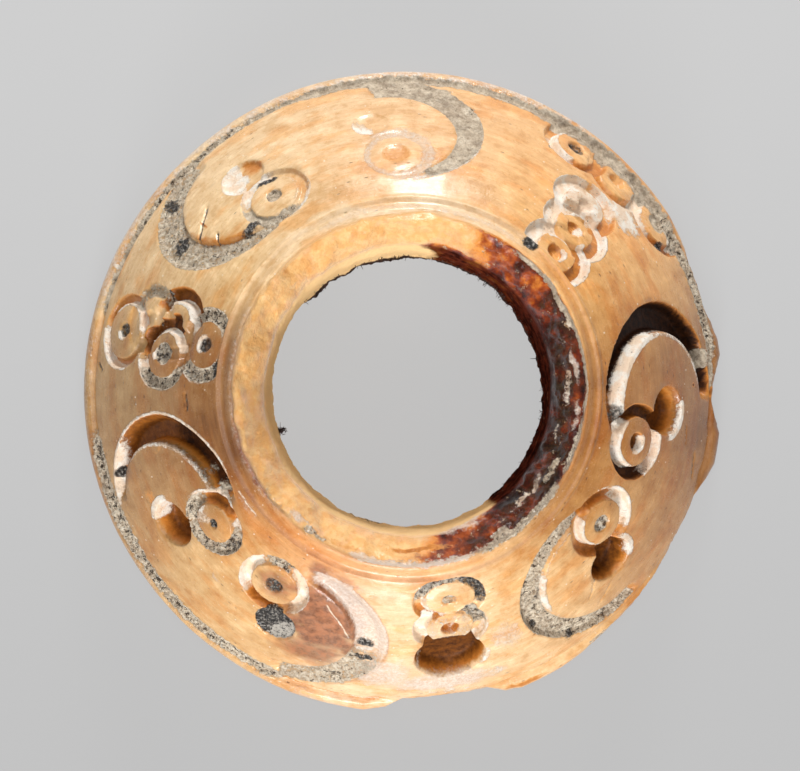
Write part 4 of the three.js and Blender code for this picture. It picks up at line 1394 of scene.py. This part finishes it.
def thread_material(name, a, b):
    m = Nodes(name)
    tc = m.t.nodes.new("ShaderNodeTexCoord")
    P = m.vmath("MULTIPLY", tc.outputs["Object"], (1000, 1000, 1000))
    m.link(m.mix(m.step(m.noise(P, 4.0, 2, 0.6), 0.4, 0.6), a, b), m.bsdf.inputs["Base Color"])
    m.bsdf.inputs["Roughness"].default_value = 0.7
    return m.mat


def lip_point(deg, z):
    r = float(np.interp(-z, -PROF[PROF_S > S_BEVEL][:, 1], PROF[PROF_S > S_BEVEL][:, 0]))
    sh = BORE_SHIFT_X * (1 - z / 8.72)
    return np.array([r * math.sin(deg * DEG) + sh, r * math.cos(deg * DEG), z])


rng = np.random.default_rng(7)
p0, d0, l0 = [], [], []
for deg in list(rng.normal(45, 22, 420)) + list(rng.uniform(310, 366, 220)) + list(rng.uniform(80, 150, 60)):
    z = rng.uniform(0.9, 1.9)
    c = lip_point(deg, z)
    inward = -np.array([math.sin(deg * DEG), math.cos(deg * DEG), 0])
    p0.append(c - inward * 0.10)
    tang = np.array([math.cos(deg * DEG), -math.sin(deg * DEG), 0])
    d0.append(inward + tang * rng.normal(0, 0.6) + np.array([0, 0, rng.normal(0, 0.3)]))
    l0.append(0.10 + rng.uniform(0.0, 0.055))
fuzz = strands("fuzz", p0, d0, l0, 0.036, 8, 0.8)
fuzz.data.materials.append(thread_material("fuzz_dark", srgb(40, 28, 26), srgb(84, 60, 52)))
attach(fuzz, "root")

p0, d0, l0 = [], [], []
anchor = lip_point(252.5, 1.5)
inward = -np.array([math.sin(252.5 * DEG), math.cos(252.5 * DEG), 0])
for k in range(90):
    reach = rng.uniform(-0.1, 0.30)
    p0.append(anchor + inward * reach + rng.normal(0, 0.075, 3) * np.array([1, 1, 0.6]))
    d0.append(inward * 0.4 + rng.normal(0, 1.0, 3) * np.array([1, 1, 0.5]))
    l0.append(rng.uniform(0.07, 0.15))
lint = strands("lint", p0, d0, l0, 0.026, 9, 0.9)
lint.data.materials.append(thread_material("lint_grey", srgb(66, 52, 56), srgb(104, 86, 84)))
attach(lint, "root")


# =============================================================================
# Stage: pale floor, soft lights, camera above
# =============================================================================
def floor():
    me = bpy.data.meshes.new("floor")
    q = 0.6
    e = -0.00003          # a hair below the base, so the two do not share a plane
    me.from_pydata([(-q, -q, e), (q, -q, e), (q, q, e), (-q, q, e)], [], [(0, 1, 2, 3)])
    ob = bpy.data.objects.new("floor", me)
    bpy.context.scene.collection.objects.link(ob)
    m = Nodes("floor_grey")
    tc = m.t.nodes.new("ShaderNodeTexCoord")
    P = m.vmath("MULTIPLY", tc.outputs["Object"], (1000, 1000, 1000))
    y = m.sep(P)[1]
    m.bsdf.inputs["Base Color"].default_value = (0.07, 0.07, 0.071, 1)
    m.link(m.mix(m.step(y, -20.0, 22.0), srgb(180, 180, 180), srgb(194, 194, 194)), m.bsdf.inputs["Emission Color"])
    m.bsdf.inputs["Emission Strength"].default_value = 1.0
    m.bsdf.inputs["Roughness"].default_value = 0.9
    m.bsdf.inputs["Specular IOR Level"].default_value = 0.1
    me.materials.append(m.mat)
    return ob


floor()


def area(name, loc, target, size, size_y, power, colour=(1, 1, 1)):
    d = bpy.data.lights.new(name, "AREA")
    d.shape = "RECTANGLE"
    d.size, d.size_y = size, size_y
    d.energy = power
    d.color = colour
    ob = bpy.data.objects.new(name, d)
    ob.location = loc
    ob.rotation_euler = (Vector(target) - Vector(loc)).to_track_quat("-Z", "Y").to_euler()
    bpy.context.scene.collection.objects.link(ob)
    return ob


area("key_top", (0.036, 0.40, 0.115), (0, 0, 0.006), 0.10, 0.14, 1.45)
area("fill_near", (-0.02, -0.36, 0.26), (0, 0, 0.004), 0.22, 0.11, 1.25)
area("low_near", (-0.04, -0.40, 0.175), (0, 0, 0.006), 0.09, 0.045, 0.62)
area("overhead", (-0.04, 0.03, 0.62), (0, 0, 0.004), 0.5, 0.5, 1.35)

world = bpy.data.worlds.new("studio")
bpy.context.scene.world = world
world.use_nodes = True
world.node_tree.nodes["Background"].inputs[0].default_value = (1, 1, 1, 1)
world.node_tree.nodes["Background"].inputs[1].default_value = 0.20

# camera: straight above, leaning 2.3 degrees to the left of the axis
CAM_D = 0.45
n = Vector((-math.tan(2.3 * DEG), -math.tan(0.6 * DEG), 1)).normalized()
right = Vector((0, 1, 0)).cross(n).normalized()
up = n.cross(right)
target = Vector((-0.2447, 0.2019, 4.4923)) * MM
cam = bpy.data.cameras.new("camera")
cam.sensor_width = 36
cam.lens = 36 * CAM_D / 0.035
cam.clip_start, cam.clip_end = 0.01, 10
co = bpy.data.objects.new("camera", cam)
M = Matrix((right, up, n)).transposed().to_4x4()
M.translation = target + n * CAM_D
co.matrix_world = M
bpy.context.scene.collection.objects.link(co)
bpy.context.scene.camera = co
bpy.context.scene.view_settings.view_transform = "Standard"
bpy.context.scene.view_settings.look = "None"
